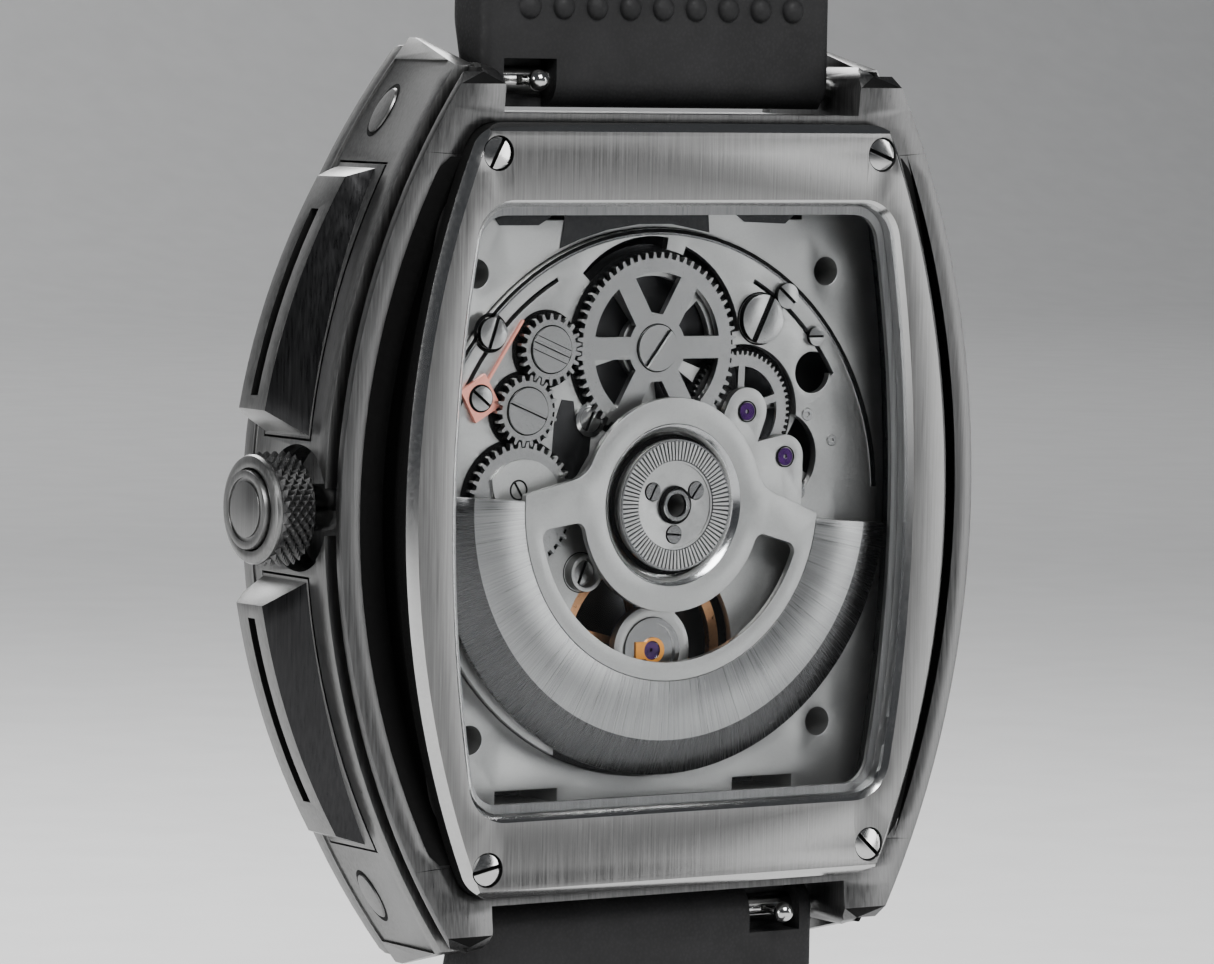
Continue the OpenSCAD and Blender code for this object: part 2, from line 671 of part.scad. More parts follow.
module balance_wheel() watch() color(gilt) translate([balance_pos[0], balance_pos[1], 0]) {
    slab(3.85, 0.4) difference() {
        circle(4.95);
        circle(4.4);
    }
    slab(3.95, 0.2) for (a = [0, 60, 120]) rotate(a + 15) square([9, 0.4], center = true);
    translate([0, 0, 3.2]) cylinder(r = 0.18, h = 2.6);
    slab(4.2, 0.2) circle(0.65);
}
// Flat spiral drawn as half turns about two centres
module half_turn(r, side) intersection() {
    difference() {
        circle(r + 0.04);
        circle(r - 0.04);
    }
    translate([-5, side > 0 ? -0.001 : -5]) square([10, 5.001]);
}
module hairspring() watch() color("#7d8ba6") translate([balance_pos[0], balance_pos[1], 3.5])
    linear_extrude(0.12) for (i = [0:5]) {
        half_turn(0.6 + 2 * coil * i, 1);
        translate([coil, 0]) half_turn(0.6 + 2 * coil * i + coil, -1);
    }
coil = 0.15;
module centre_wheel() watch() color(gilt) {
    slab(7.0, 0.25) difference() {
        gear(centre_n, centre_m, third_dir);
        spokes(5, 1.2, 5.4, 0.7, 0);
        circle(0.28);
    }
    translate([0, 0, 7.1]) difference() {
        cylinder(r = 0.5, h = 2.35);
        translate([0, 0, -1]) cylinder(r = 0.28, h = 6);
    }
}

// ---- hands -----------------------------------------------------------------
// Tapered hand with a round boss: length, root width, tip width, boss and bore radius
module hand(len, root_w, tip_w, boss, bore) difference() {
    union() {
        circle(boss);
        polygon([[-root_w / 2, -2.4], [root_w / 2, -2.4], [root_w / 2, len - 1.4], [0, len], [-root_w / 2, len - 1.4]]);
    }
    circle(bore);
    polygon([[-tip_w / 2, 1.8], [tip_w / 2, 1.8], [tip_w / 2, len * 0.55], [-tip_w / 2, len * 0.55]]);
}
module hour_hand() watch() color(bright) {
    slab(9.0, 0.18) rotate(-55) hand(7.2, 1.2, 0.5, 1.1, 0.56);
    translate([0, 0, 8.5]) ring(0.8, 0.56, 0.55);
}
module minute_hand() watch() color(bright) slab(9.25, 0.16) rotate(58) hand(10.6, 1.0, 0.4, 0.95, 0.5);
module seconds_hand() watch() color("#b0442f") {
    slab(9.55, 0.1) rotate(180) hand(11.0, 0.34, 0.05, 0.7, 0.05);
    translate([0, 0, 6.2]) cylinder(r = 0.22, h = 3.4);
}

// ---- crown -----------------------------------------------------------------
crown_x = 19.85;
module along_x(x) translate([x, 0, crown_d]) rotate([0, 90, 0]) children();
module setting_lever() watch() color(bright) difference() {
    translate([10.2, -1.5, 5.45]) cube([0.7, 3, 2.3]);
    along_x(9) cylinder(r = 0.47, h = 4);
    translate([9, -0.47, crown_d]) cube([4, 0.94, 4]);
}
module stem() watch() color(bright) {
    along_x(7.6) cylinder(r = 0.4, h = 3.4);
    along_x(10.98) cylinder(r = stem_r, h = 9.4);
    along_x(7.6) cylinder(r = stem_r, h = 2.52);
}
module crown_body() watch() color(steel) difference() {
    union() {
        along_x(crown_x) linear_extrude(2.2) circle(crown_r - 0.12);
        along_x(crown_x + 0.2) linear_extrude(1.8) gear(48, 2 * crown_r / 49.7, 0);
        along_x(crown_x + 2.1) cylinder(r1 = 2.75, r2 = 2.45, h = 0.35);
    }
    along_x(crown_x - 1) cylinder(r = tube_r + 0.35, h = 2.2);
    along_x(crown_x - 1) cylinder(r = stem_r + 0.02, h = 1.7);
    along_x(crown_x + 2.25) cylinder(r = 2.06, h = 1);
}
module crown_cap() watch() color(steel) difference() {
    along_x(crown_x + 2.25) cylinder(r = 2.0, h = 0.42);
    along_x(crown_x + 2.57) ring(1.62, 1.42, 1);
}

// ---- pushers ---------------------------------------------------------------
push_r = 34.3;
push_x = 21.65;
stub_x = 15.6;
push_curve = 150;
push_from = 3.55;
push_to = 17.4;
push_back = 2.5;
push_front = 1.9;
module pusher_band(x_out, r_out, x_in, r_in, y1, y2) intersection() {
    translate([x_out - r_out, 0]) circle(r_out, $fn = arc_fn);
    difference() {
        translate([10, y1]) square([15, y2 - y1]);
        translate([x_in - r_in, 0]) circle(r_in, $fn = arc_fn);
    }
}
module pusher_opening(s, c) mirror([0, s < 0 ? 1 : 0, 0]) intersection() {
    slab(0, 14) pusher_band(30, 60, case_w - wall - 0.5, case_r, push_from - c, push_to + c);
    curved(pusher_d - push_back - c, push_curve, pusher_d + push_front + c, push_curve);
}
module pusher_well(s) mirror([0, s < 0 ? 1 : 0, 0]) {
    intersection() {
        slab(0, 14) pusher_band(30, 60, case_w - wall - 0.75, case_r, push_from - 0.12, push_to + 0.12);
        curved(pusher_d - push_back - 0.12, push_curve, pusher_d + push_front + 0.12, push_curve);
    }
    for (y = [6.5, 13]) translate([10, y, pusher_d - 0.5]) rotate([0, 90, 0]) cylinder(r = 0.56, h = 12);
}
// Raised bar of a pusher: a trapezoid section carried round push_r, leaning with the case front
push_mid = 10.5;
push_lean = -4;
module pusher_sweep(section) translate([0, push_mid, pusher_d - sag(push_curve, push_mid)]) rotate([push_lean, 0, 0])
    translate([push_x - push_r, -push_mid, 0]) rotate_extrude($fn = arc_fn) polygon(section);
module pusher(s) mirror([0, s < 0 ? 1 : 0, 0]) {
    difference() {
        union() {
            intersection() {
                slab(0, 14) pusher_band(case_w - 0.1, case_r, case_w - 0.55, case_r, push_from, push_to);
                curved(pusher_d - push_back, push_curve, pusher_d + push_front, push_curve);
            }
            intersection() {
                pusher_sweep([[push_r - 7, -push_back], [push_r - 2, -push_back], [push_r, -push_top],
                    [push_r, push_top], [push_r - 1, push_front], [push_r - 7, push_front]]);
                slab(0, 14) difference() {
                    polygon([[10, push_from], [case_w - 0.5, push_from], [push_x + 0.4, push_from + 1.9],
                        [push_x + 0.4, 12], [19, push_to - 1.2], [15.2, push_to], [10, push_to]]);
                    translate([case_w - 0.3 - case_r, 0]) circle(case_r, $fn = arc_fn);
                }
                curved(pusher_d - push_back, push_curve, pusher_d + push_front, push_curve);
            }
        }
        intersection() {
            pusher_sweep([[push_r - 0.5, -0.33], [push_r + 1, -0.33], [push_r + 1, 0.33], [push_r - 0.5, 0.33]]);
            slab(0, 14) translate([10, push_from + 2.1]) square([15, push_to - push_from - 4.4]);
        }
    }
    for (y = [6.5, 13]) translate([stub_x, y, pusher_d - 0.5]) rotate([0, 90, 0])
        cylinder(r = 0.5, h = case_w - sag(case_r, y) - 0.3 - stub_x);
}
push_top = 1.25;
module upper_pusher() watch() color(steel) pusher(1);
module lower_pusher() watch() color(steel) pusher(-1);

// ---- strap -----------------------------------------------------------------
strap_w = 21.6;
tail_w = 18;
straight = 9.5;
short_tail = 22;
long_tail = 48;
pin_reach = 11.9;
tip_r = 11;
// Moves children to the end of the bent part: y runs on along the strap, z away from the wrist
module past_bend(bend) translate([0, bar_y + straight, bar_d - strap_r]) rotate([bend, 0, 0])
    translate([0, 0, strap_r]) children();
// Bent stretch of the strap, tapering from strap_w to tail_w
module strap_bend(bend) intersection() {
    translate([0, bar_y + straight, bar_d - strap_r]) rotate([90, 0, 90])
        linear_extrude(strap_w, center = true) intersection() {
            difference() {
                circle(strap_r + strap_t / 2, $fn = arc_fn);
                circle(strap_r - strap_t / 2, $fn = arc_fn);
            }
            polygon([[0, 0], [0, 80], polar(80, 90 - bend / 2), polar(80, 90 - bend)]);
        }
    translate([0, bar_y + straight, -100]) linear_extrude(200)
        polygon([[strap_w / 2 + 1, -1], [strap_w / 2, 0], [tail_w / 2, taper_end(bend)], [tail_w / 2, 60],
            [-tail_w / 2, 60], [-tail_w / 2, taper_end(bend)], [-strap_w / 2, 0], [-strap_w / 2 - 1, -1]]);
}
function taper_end(bend) = (strap_r - strap_t) * sin(bend);
// Straight start round the spring bar, with a pocket for the release knob on one side
module strap_start(knob_side) difference() {
    union() {
        translate([0, bar_y, bar_d]) rotate([0, 90, 0]) cylinder(r = strap_t / 2, h = strap_w, center = true);
        translate([-strap_w / 2, bar_y, bar_d - strap_t / 2]) cube([strap_w, straight + 0.02, strap_t]);
    }
    translate([0, bar_y, bar_d]) rotate([0, 90, 0]) cylinder(r = 0.8, h = 40, center = true);
    translate([knob_side * 8.1 - 1.6, bar_y - 2, bar_d - 3]) cube([3.2, 3.1, 3.05]);
}
module strap_short() watch() color(rubber) {
    strap_start(1);
    strap_bend(short_bend);
    past_bend(-short_bend) difference() {
        union() {
            translate([-tail_w / 2, -0.02, -strap_t / 2]) cube([tail_w, short_tail + 0.02, strap_t]);
            translate([0, short_tail, 0]) rotate([0, 90, 0]) cylinder(r = strap_t / 2, h = tail_w, center = true);
        }
        translate([0, short_tail, 0]) rotate([0, 90, 0]) cylinder(r = 0.8, h = 40, center = true);
        translate([-1.5, short_tail - 4.2, -5]) cube([3, 8, 10]);
    }
}
module strap_long() watch() mirror([0, 1, 0]) color(rubber) {
    strap_start(-1);
    strap_bend(long_bend);
    past_bend(-long_bend) difference() {
        translate([0, 0, -strap_t / 2]) linear_extrude(strap_t) intersection() {
            translate([-tail_w / 2, -0.02]) square([tail_w, long_tail + 1]);
            union() {
                translate([0, long_tail - tip_r]) circle(tip_r);
                translate([-tip_r, -1]) square([2 * tip_r, long_tail + 1 - tip_r]);
            }
        }
        for (i = [0:6]) translate([0, 2.5 + 5.6 * i, 0]) cylinder(r = 1.25, h = 10, center = true);
    }
}
// Tube with a fixed tip at one end and room for the retracting pin at the other
module spring_bar(side) translate([0, bar_y, bar_d]) rotate([0, side * 90, 0]) difference() {
    union() {
        cylinder(r = 0.75, h = 21.4, center = true);
        translate([0, 0, -pin_reach]) cylinder(r = 0.45, h = 2);
    }
    translate([0, 0, 5.6]) cylinder(r = 0.5, h = 10);
    translate([side > 0 ? 0.2 : -2.2, -0.27, knob_x - 1.5]) cube([2, 0.54, 1.9]);
}
module release_knob(side) translate([0, bar_y, bar_d]) {
    translate([side * 7, 0, 0]) rotate([0, side * 90, 0]) cylinder(r = 0.45, h = pin_reach - 7);
    translate([side * knob_x, 0, -2.1]) cylinder(r = 0.22, h = 2.1);
    translate([side * knob_x, 0, -2.15]) sphere(0.55, $fn = 32);
}
knob_x = 8.1;
module spring_bar_short() watch() color(bright) spring_bar(1);
module spring_bar_long() watch() color(bright) mirror([0, 1, 0]) spring_bar(-1);
module release_knob_short() watch() color(bright) release_knob(1);
module release_knob_long() watch() color(bright) mirror([0, 1, 0]) release_knob(-1);

// ---- buckle ----------------------------------------------------------------
module at_buckle() watch() past_bend(-short_bend) translate([0, short_tail, 0]) children();
module buckle_bar() at_buckle() color(bright) rotate([0, 90, 0]) cylinder(r = 0.72, h = 22.6, center = true);
module buckle_frame() at_buckle() color(steel) difference() {
    union() {
        for (s = [-1, 1]) translate([s * 10.3, 0, 0]) {
            rotate([0, 90, 0]) cylinder(r = 1.6, h = 2.2, center = true);
            translate([-1.1, 0, -1.6]) cube([2.2, 9.5, 3.2]);
        }
        translate([-11.4, 8.6, -1.6]) cube([22.8, 2.4, 2.6]);
    }
    rotate([0, 90, 0]) cylinder(r = 0.78, h = 40, center = true);
    translate([-1.1, 8, 0.5]) cube([2.2, 4, 2]);
}
module buckle_tongue() at_buckle() color(bright) difference() {
    union() {
        rotate([0, 90, 0]) cylinder(r = 1.3, h = 2, center = true);
        translate([-0.8, 0, 0.56]) cube([1.6, 11.2, 0.74]);
    }
    rotate([0, 90, 0]) cylinder(r = 0.78, h = 10, center = true);
}
module keeper(y, w, h, t) translate([0, y, 0]) difference() {
    translate([-(w / 2 + t), 0, -strap_t / 2 - 0.3 - t]) cube([w + 2 * t, 4.6, h + 2 * t]);
    translate([-w / 2, -1, -strap_t / 2 - 0.3]) cube([w, 10, h]);
}
module fixed_keeper() at_buckle() color(rubber) keeper(-9.4, tail_w + 0.6, 6.2, 1.2);
module free_keeper() at_buckle() color(rubber) keeper(-20.6, tail_w + 0.6, 6.2, 1.2);

mid_case();
groove_band();
side_plate_crown();
side_plate_left();
front_bezel();
front_crystal();
back_plate();
back_crystal();
back_gasket();
back_screws();
crown_tube();
dial_ring();
hour_markers();
movement_holder();
main_plate();
barrel_bridge();
train_bridge();
balance_cock();
jewels();
shock_setting();
bridge_screws();
click_spring();
crown_wheel_cover();
bearing_disc();
bearing_screws();
rotor_plate();
rotor_weight();
rotor_hub_ring();
ratchet_wheel();
barrel_drum();
winding_wheel_a();
winding_wheel_b();
crown_wheel();
third_wheel();
fourth_wheel();
escape_wheel();
pallet_fork();
balance_wheel();
hairspring();
centre_wheel();
hour_hand();
minute_hand();
seconds_hand();
setting_lever();
stem();
crown_body();
crown_cap();
upper_pusher();
lower_pusher();
strap_short();
spring_bar_short();
release_knob_short();
strap_long();
spring_bar_long();
release_knob_long();
buckle_bar();
buckle_frame();
buckle_tongue();
fixed_keeper();
free_keeper();
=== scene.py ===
"""Looks for the wristwatch: detailed pieces, materials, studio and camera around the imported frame.

Lengths are in millimetres until at() or MM turns them into metres. Watch coordinates are
x towards the crown, z towards 12 o'clock and d, the depth from the case back towards the dial.
"""
import json
import math

import bmesh
import bpy
from mathutils import Matrix, Vector


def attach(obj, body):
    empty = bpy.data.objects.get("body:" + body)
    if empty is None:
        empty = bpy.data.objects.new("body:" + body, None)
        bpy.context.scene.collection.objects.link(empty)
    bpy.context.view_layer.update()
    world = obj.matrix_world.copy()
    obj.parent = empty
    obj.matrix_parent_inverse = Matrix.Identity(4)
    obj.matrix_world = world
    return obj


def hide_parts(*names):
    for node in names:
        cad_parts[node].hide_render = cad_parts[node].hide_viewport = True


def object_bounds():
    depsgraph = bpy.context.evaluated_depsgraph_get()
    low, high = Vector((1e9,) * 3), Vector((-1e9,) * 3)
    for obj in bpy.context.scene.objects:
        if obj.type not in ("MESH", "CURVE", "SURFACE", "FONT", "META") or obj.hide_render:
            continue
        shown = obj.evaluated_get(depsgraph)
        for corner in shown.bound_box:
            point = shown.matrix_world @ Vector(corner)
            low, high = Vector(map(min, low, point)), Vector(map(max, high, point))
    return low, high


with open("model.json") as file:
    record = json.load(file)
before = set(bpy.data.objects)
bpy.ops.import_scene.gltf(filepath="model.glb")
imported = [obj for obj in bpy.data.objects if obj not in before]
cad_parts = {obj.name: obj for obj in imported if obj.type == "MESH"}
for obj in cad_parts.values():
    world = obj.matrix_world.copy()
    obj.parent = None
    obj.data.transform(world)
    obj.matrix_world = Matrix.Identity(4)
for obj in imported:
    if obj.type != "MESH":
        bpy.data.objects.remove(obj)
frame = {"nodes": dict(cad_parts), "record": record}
cad_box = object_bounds()
nodes = frame["nodes"]
MM = 0.001


def at(x, z, d):
    """A point in watch coordinates, in the row frame, in metres."""
    return Vector((x * MM, -d * MM, z * MM))


# ---- camera -------------------------------------------------------------------------------
FOCAL_MM = 189.3
CAMERA_AT = Vector((185.21, 269.41, 24.24)) * MM
YAW, PITCH, ROLL = math.radians(33.77), math.radians(4.03), math.radians(0.98)


def make_camera():
    data = bpy.data.cameras.new("camera")
    data.lens = FOCAL_MM
    data.sensor_width = 36
    data.clip_start, data.clip_end = 0.01, 20
    camera = bpy.data.objects.new("camera", data)
    bpy.context.scene.collection.objects.link(camera)
    towards = Vector((math.sin(YAW) * math.cos(PITCH), math.cos(YAW) * math.cos(PITCH), math.sin(PITCH)))
    right = (-towards).cross(Vector((0, 0, 1))).normalized()
    up = right.cross(-towards)
    turned_right = math.cos(ROLL) * right + math.sin(ROLL) * up
    turned_up = -math.sin(ROLL) * right + math.cos(ROLL) * up
    turn = Matrix((turned_right, turned_up, towards)).transposed().to_4x4()
    camera.matrix_world = Matrix.Translation(CAMERA_AT) @ turn
    bpy.context.scene.camera = camera


make_camera()


# ---- materials ----------------------------------------------------------------------------
def new_material(name):
    material = bpy.data.materials.new(name)
    material.use_nodes = True
    tree = material.node_tree
    return material, tree, tree.nodes["Principled BSDF"]


def node(tree, kind, inputs=None, **settings):
    """A shader node with its settings and its input values or links."""
    made = tree.nodes.new("ShaderNode" + kind)
    for key, value in settings.items():
        setattr(made, key, value)
    for key, value in (inputs or {}).items():
        if isinstance(value, bpy.types.NodeSocket):
            tree.links.new(value, made.inputs[key])
        else:
            made.inputs[key].default_value = value
    return made


def ramp(tree, factor, stops):
    """A colour ramp from (position, grey or colour) stops."""
    made = node(tree, "ValToRGB", {"Fac": factor})
    points = made.color_ramp.elements
    while len(points) < len(stops):
        points.new(0.5)
    for point, (where, tone) in zip(points, stops):
        point.position = where
        point.color = (*tone, 1) if isinstance(tone, tuple) else (tone, tone, tone, 1)
    return made.outputs["Color"]


def grain(tree, stretch, scale, centre=None):
    """Fine noise in object coordinates, stretched along an axis, or wound round a centre."""
    coords = node(tree, "TexCoord").outputs["Object"]
    if centre is not None:
        shifted = node(tree, "VectorMath", {0: coords, 1: tuple(centre)}, operation="SUBTRACT").outputs[0]
        parts = node(tree, "SeparateXYZ", {0: shifted})
        sides = {0: parts.outputs["Z"], 1: parts.outputs["X"]}
        angle = node(tree, "Math", sides, operation="ARCTAN2").outputs[0]
        across = node(tree, "CombineXYZ", {0: parts.outputs["X"], 1: parts.outputs["Z"]}).outputs[0]
        radius = node(tree, "VectorMath", {0: across}, operation="LENGTH").outputs["Value"]
        coords = node(tree, "CombineXYZ", {0: angle, 1: radius}).outputs[0]
    mapped = node(tree, "Mapping", {"Vector": coords, "Scale": stretch})
    noise = {"Vector": mapped.outputs[0], "Scale": scale, "Detail": 6, "Roughness": 0.6}
    return node(tree, "TexNoise", noise).outputs["Fac"]


def cloud_noise(tree, scale, detail):
    """Soft noise in object coordinates."""
    coords = node(tree, "TexCoord").outputs["Object"]
    return node(tree, "TexNoise", {"Vector": coords, "Scale": scale, "Detail": detail}).outputs["Fac"]


def metal(name, tone, rough, stretch, scale, bump=0.12, contrast=0.1, centre=None, blotch=0.06, metallic=1.0):
    """Metal with a directional grain: brushed along the axis whose stretch is smallest."""
    material, tree, shader = new_material(name)
    fine = grain(tree, stretch, scale, centre=centre)
    cloud = cloud_noise(tree, 160, 3)
    low = tuple(max(0, c * (1 - contrast)) for c in tone)
    high = tuple(min(1, c * (1 + contrast)) for c in tone)
    colour = ramp(tree, fine, [(0.3, low), (0.7, high)])
    layers = {"Fac": blotch, "Color1": colour, "Color2": ramp(tree, cloud, [(0.3, 0.2), (0.7, 1.0)])}
    clouded = node(tree, "MixRGB", layers, blend_type="OVERLAY").outputs[0]
    tree.links.new(clouded, shader.inputs["Base Color"])
    shader.inputs["Metallic"].default_value = metallic
    spread = [(0.25, rough * 0.8), (0.75, min(1, rough * 1.25))]
    tree.links.new(ramp(tree, fine, spread), shader.inputs["Roughness"])
    made = node(tree, "Bump", {"Height": fine, "Strength": bump, "Distance": 0.00002})
    tree.links.new(made.outputs[0], shader.inputs["Normal"])
    return material


ALONG_Z = (1.0, 1.0, 0.02)
EVEN = (1, 1, 1)
RADIAL = (1.0, 0.9, 1.0)
CENTRE = (0, 0, 0)
STEEL = (0.2, 0.2, 0.198)
PALE = (0.42, 0.42, 0.41)
MATS = {
    "case_steel": metal("case_steel", STEEL, 0.34, ALONG_Z, 9000, bump=0.3, contrast=0.2),
    "flange_steel": metal("flange_steel", (0.12, 0.12, 0.12), 0.32, ALONG_Z, 9000, bump=0.25, contrast=0.25),
    # flank_painted_shade: steel darkened as painted dark reflection and painted shade on the wrist-side flanks
    # of the pushers
    "flank_painted_shade": metal("flank_painted_shade", (0.035, 0.035, 0.036), 0.3, ALONG_Z, 9000, bump=0.1, contrast=0.2),
    "polished_steel": metal("polished_steel", (0.5, 0.5, 0.495), 0.16, EVEN, 5000, bump=0.03, contrast=0.05),
    "wheel_steel": metal("wheel_steel", (0.34, 0.34, 0.335), 0.3, EVEN, 26000, bump=0.03, contrast=0.05),
    "rhodium_plate": metal("rhodium_plate", PALE, 0.42, EVEN, 8000, bump=0.2, contrast=0.08, blotch=0.1),
    "weight_face": metal("weight_face", (0.33, 0.33, 0.325), 0.3, RADIAL, 170,
                          bump=0.3, contrast=0.24, centre=CENTRE),
    # weight_bevel_painted_shade: darker copy of the weight's steel, painted shade on the rotor weight's outer
    # bevel
    "weight_bevel_painted_shade": metal("weight_bevel_painted_shade", (0.09, 0.09, 0.09), 0.26, RADIAL, 170,
                          bump=0.3, contrast=0.3, centre=CENTRE),
    # well_painted_shade: steel darkened as painted shade on the inner walls of the case round the movement
    "well_painted_shade": metal("well_painted_shade", (0.035, 0.035, 0.036), 0.3, EVEN, 4000, bump=0.05, contrast=0.15),
    # plate_painted_shade: plate darkened as painted shade, for the main plate and barrel seen in shadow, the
    # bed between the bearing's flutes and recesses drawn as patches
    "plate_painted_shade": metal("plate_painted_shade", (0.045, 0.045, 0.046), 0.4, EVEN, 5000, bump=0.1, contrast=0.15),
    "gilt": metal("gilt", (0.62, 0.33, 0.17), 0.3, EVEN, 5000, bump=0.06, contrast=0.1),
    "orange_gilt": metal("orange_gilt", (0.75, 0.3, 0.04), 0.35, EVEN, 5000,
                          bump=0.03, contrast=0.08, metallic=0.4),
    "pink_gold": metal("pink_gold", (0.9, 0.36, 0.28), 0.4, EVEN, 5000,
                          bump=0.06, contrast=0.08, metallic=0.5),
    "blue_steel": metal("blue_steel", (0.2, 0.24, 0.34), 0.3, EVEN, 5000, bump=0.04),
    "red_lacquer": metal("red_lacquer", (0.45, 0.05, 0.03), 0.3, EVEN, 5000, bump=0.02, metallic=0.1),
    # black_coating: black that stands for painted shade, painted shadow and painted dark reflection in slots,
    # gaps, sinks, recesses, grooves and coves
    "black_coating": metal("black_coating", (0.004, 0.004, 0.004), 0.6, EVEN, 7000,
                          bump=0.1, contrast=0.3, metallic=0.0),
    "dial_black": metal("dial_black", (0.012, 0.012, 0.013), 0.5, EVEN, 7000,
                          bump=0.1, contrast=0.3, metallic=0.0),
}


def make_rubber(name, tone):
    """Matt rubber with fine pores."""
    material, tree, shader = new_material(name)
    coords = node(tree, "TexCoord").outputs["Object"]
    pores = node(tree, "TexVoronoi", {"Vector": coords, "Scale": 5200}).outputs["Distance"]
    dark, light = tuple(c * 0.75 for c in tone), tuple(c * 1.35 for c in tone)
    tones = ramp(tree, cloud_noise(tree, 420, 8), [(0.3, dark), (0.75, light)])
    tree.links.new(tones, shader.inputs["Base Color"])
    tree.links.new(ramp(tree, pores, [(0.0, 0.5), (0.6, 0.68)]), shader.inputs["Roughness"])
    made = node(tree, "Bump", {"Height": pores, "Strength": 0.35, "Distance": 0.00003})
    tree.links.new(made.outputs[0], shader.inputs["Normal"])
    shader.inputs["Specular IOR Level"].default_value = 0.25
    return material


def make_glass(name, tint, strength):
    """Thin clear pane: straight through, with a faint reflection, so what is behind stays in place."""
    material, tree, shader = new_material(name)
    tree.nodes.remove(shader)
    clear = node(tree, "BsdfTransparent", {"Color": (*tint, 1)}).outputs[0]
    gloss = node(tree, "BsdfGlossy", {"Color": (1, 1, 1, 1), "Roughness": 0.03}).outputs[0]
    facing = node(tree, "Fresnel", {"IOR": 1.35}).outputs[0]
    amount = node(tree, "Math", {0: facing, 1: strength}, operation="MULTIPLY").outputs[0]
    smudge = ramp(tree, cloud_noise(tree, 90, 4), [(0.3, 0.85), (0.7, 1.0)])
    soft = node(tree, "Math", {0: amount, 1: smudge}, operation="MULTIPLY").outputs[0]
    mixed = node(tree, "MixShader", {0: soft, 1: clear, 2: gloss}).outputs[0]
    tree.links.new(mixed, tree.nodes["Material Output"].inputs["Surface"])
    return material


for name in ("black_coating", "dial_black"):
    MATS[name].node_tree.nodes["Principled BSDF"].inputs["Specular IOR Level"].default_value = 0.08
MATS["strap_rubber"] = make_rubber("strap_rubber", (0.009, 0.009, 0.0095))
MATS["seal"] = make_rubber("seal", (0.008, 0.008, 0.008))
MATS["crystal"] = make_glass("crystal", (0.97, 0.975, 0.98), 0.3)


def make_ruby():
    """Deep purple jewel."""
    material, tree, shader = new_material("ruby")
    tones = [(0.3, (0.02, 0.004, 0.045)), (0.7, (0.055, 0.012, 0.1))]
    tree.links.new(ramp(tree, cloud_noise(tree, 2500, 3), tones), shader.inputs["Base Color"])
    shader.inputs["Roughness"].default_value = 0.12
    shader.inputs["Coat Weight"].default_value = 0.6
    return material


MATS["ruby"] = make_ruby()
SLOT_OF = {s["node"]: s["material_slot"] for s in frame["record"]["subparts"]}


BEVEL_ANGLE, SPLIT_ANGLE = math.radians(32), math.radians(28)
NARROW_BEVEL = 0.04


def finish_node(name, width, material):
    """A CAD node gets its material, welded corners and fine polished bevels along its edges."""
    obj = nodes[name]
    obj.data.materials.clear()
    obj.data.materials.append(material or MATS[SLOT_OF[name]])
    for polygon in obj.data.polygons:
        polygon.use_smooth = True
    weld = obj.modifiers.new("weld", "WELD")
    weld.merge_threshold = 2e-6
    if width:
        bevel = obj.modifiers.new("bevel", "BEVEL")
        bevel.width = width * MM
        bevel.segments = 2
        bevel.limit_method = "ANGLE"
        bevel.angle_limit = BEVEL_ANGLE
        bevel.use_clamp_overlap = True
    split = obj.modifiers.new("split", "EDGE_SPLIT")
    split.split_angle = SPLIT_ANGLE


WIDE_BEVELS = {"side_plate_crown": 0.2, "side_plate_left": 0.2, "mid_case": 0.08, "back_plate": 0.05,
               "upper_pusher": 0.1, "lower_pusher": 0.1, "front_bezel": 0.12, "buckle_frame": 0.4,
               "buckle_tongue": 0.15, "fixed_keeper": 0.4, "free_keeper": 0.4, "back_screws": 0.03}
SHARP = ("ratchet_wheel", "winding_wheel_a", "winding_wheel_b", "crown_wheel", "third_wheel", "fourth_wheel",
         "escape_wheel", "pallet_fork", "centre_wheel", "hairspring", "bearing_screws", "shock_setting",
         "crown_wheel_cover", "jewels", "click_spring", "balance_wheel", "barrel_drum")
# Materials other than the slot's; plate_painted_shade on main_plate and barrel_drum is painted shade
OTHER_FINISH_AND_SHADE = {"main_plate": "plate_painted_shade", "barrel_drum": "plate_painted_shade", "rotor_weight": "weight_face",
                "rotor_hub_ring": "polished_steel", "bridge_screws": "wheel_steel",
                "mid_case": "flange_steel", "shock_setting": "polished_steel"}
for name in nodes:
    sharp = SLOT_OF[name] == "crystal" or name in SHARP
    finish_node(name, 0.0 if sharp else WIDE_BEVELS.get(name, NARROW_BEVEL), MATS.get(OTHER_FINISH_AND_SHADE.get(name)))


def second_finish_and_shade(name, material, test):
    """Faces of a node that pass the test on (centre in watch millimetres, normal) get another material: a
    second finish, and in some calls painted shade.
    """
    obj = nodes[name]
    obj.data.materials.append(MATS[material])
    index = len(obj.data.materials) - 1
    for polygon in obj.data.polygons:
        c, n = polygon.center / MM, polygon.normal
        if test(c.x, c.z, -c.y, n):
            polygon.material_index = index


# ---- dimensions shared with the CAD -------------------------------------------------------
CASE_W, CASE_R, RIB, WALL, PANEL_SINK = 19.65, 41.9, 1.1, 1.0, 0.12
PLATE_H, WINDOW_W, WINDOW_H = 19.65, 14.35, 15.75
BAR_Z, BAR_D = 21.75, 4.5
STRAP_T, STRAP_R, STRAIGHT, STRAP_W, TAIL_W = 2.8, 46.0, 9.5, 21.6, 18.0
CROWN_D, CROWN_X = 6.6, 19.85
BRIDGE_D, HOLDER_D = 3.15, 3.48
RATCHET_AT, WHEEL_A_AT, WHEEL_B_AT = (0.38, 8.05), (6.898, 8.05), (8.287, 4.931)
THIRD_AT, FOURTH_AT, BALANCE_AT, POST_AT = (-5.41, 4.65), (-7.89, 2.24), (0.27, -7.63), (4.52, -3.48)


def side_radius(x, z):
    return math.hypot(abs(x) + CASE_R - CASE_W, z)


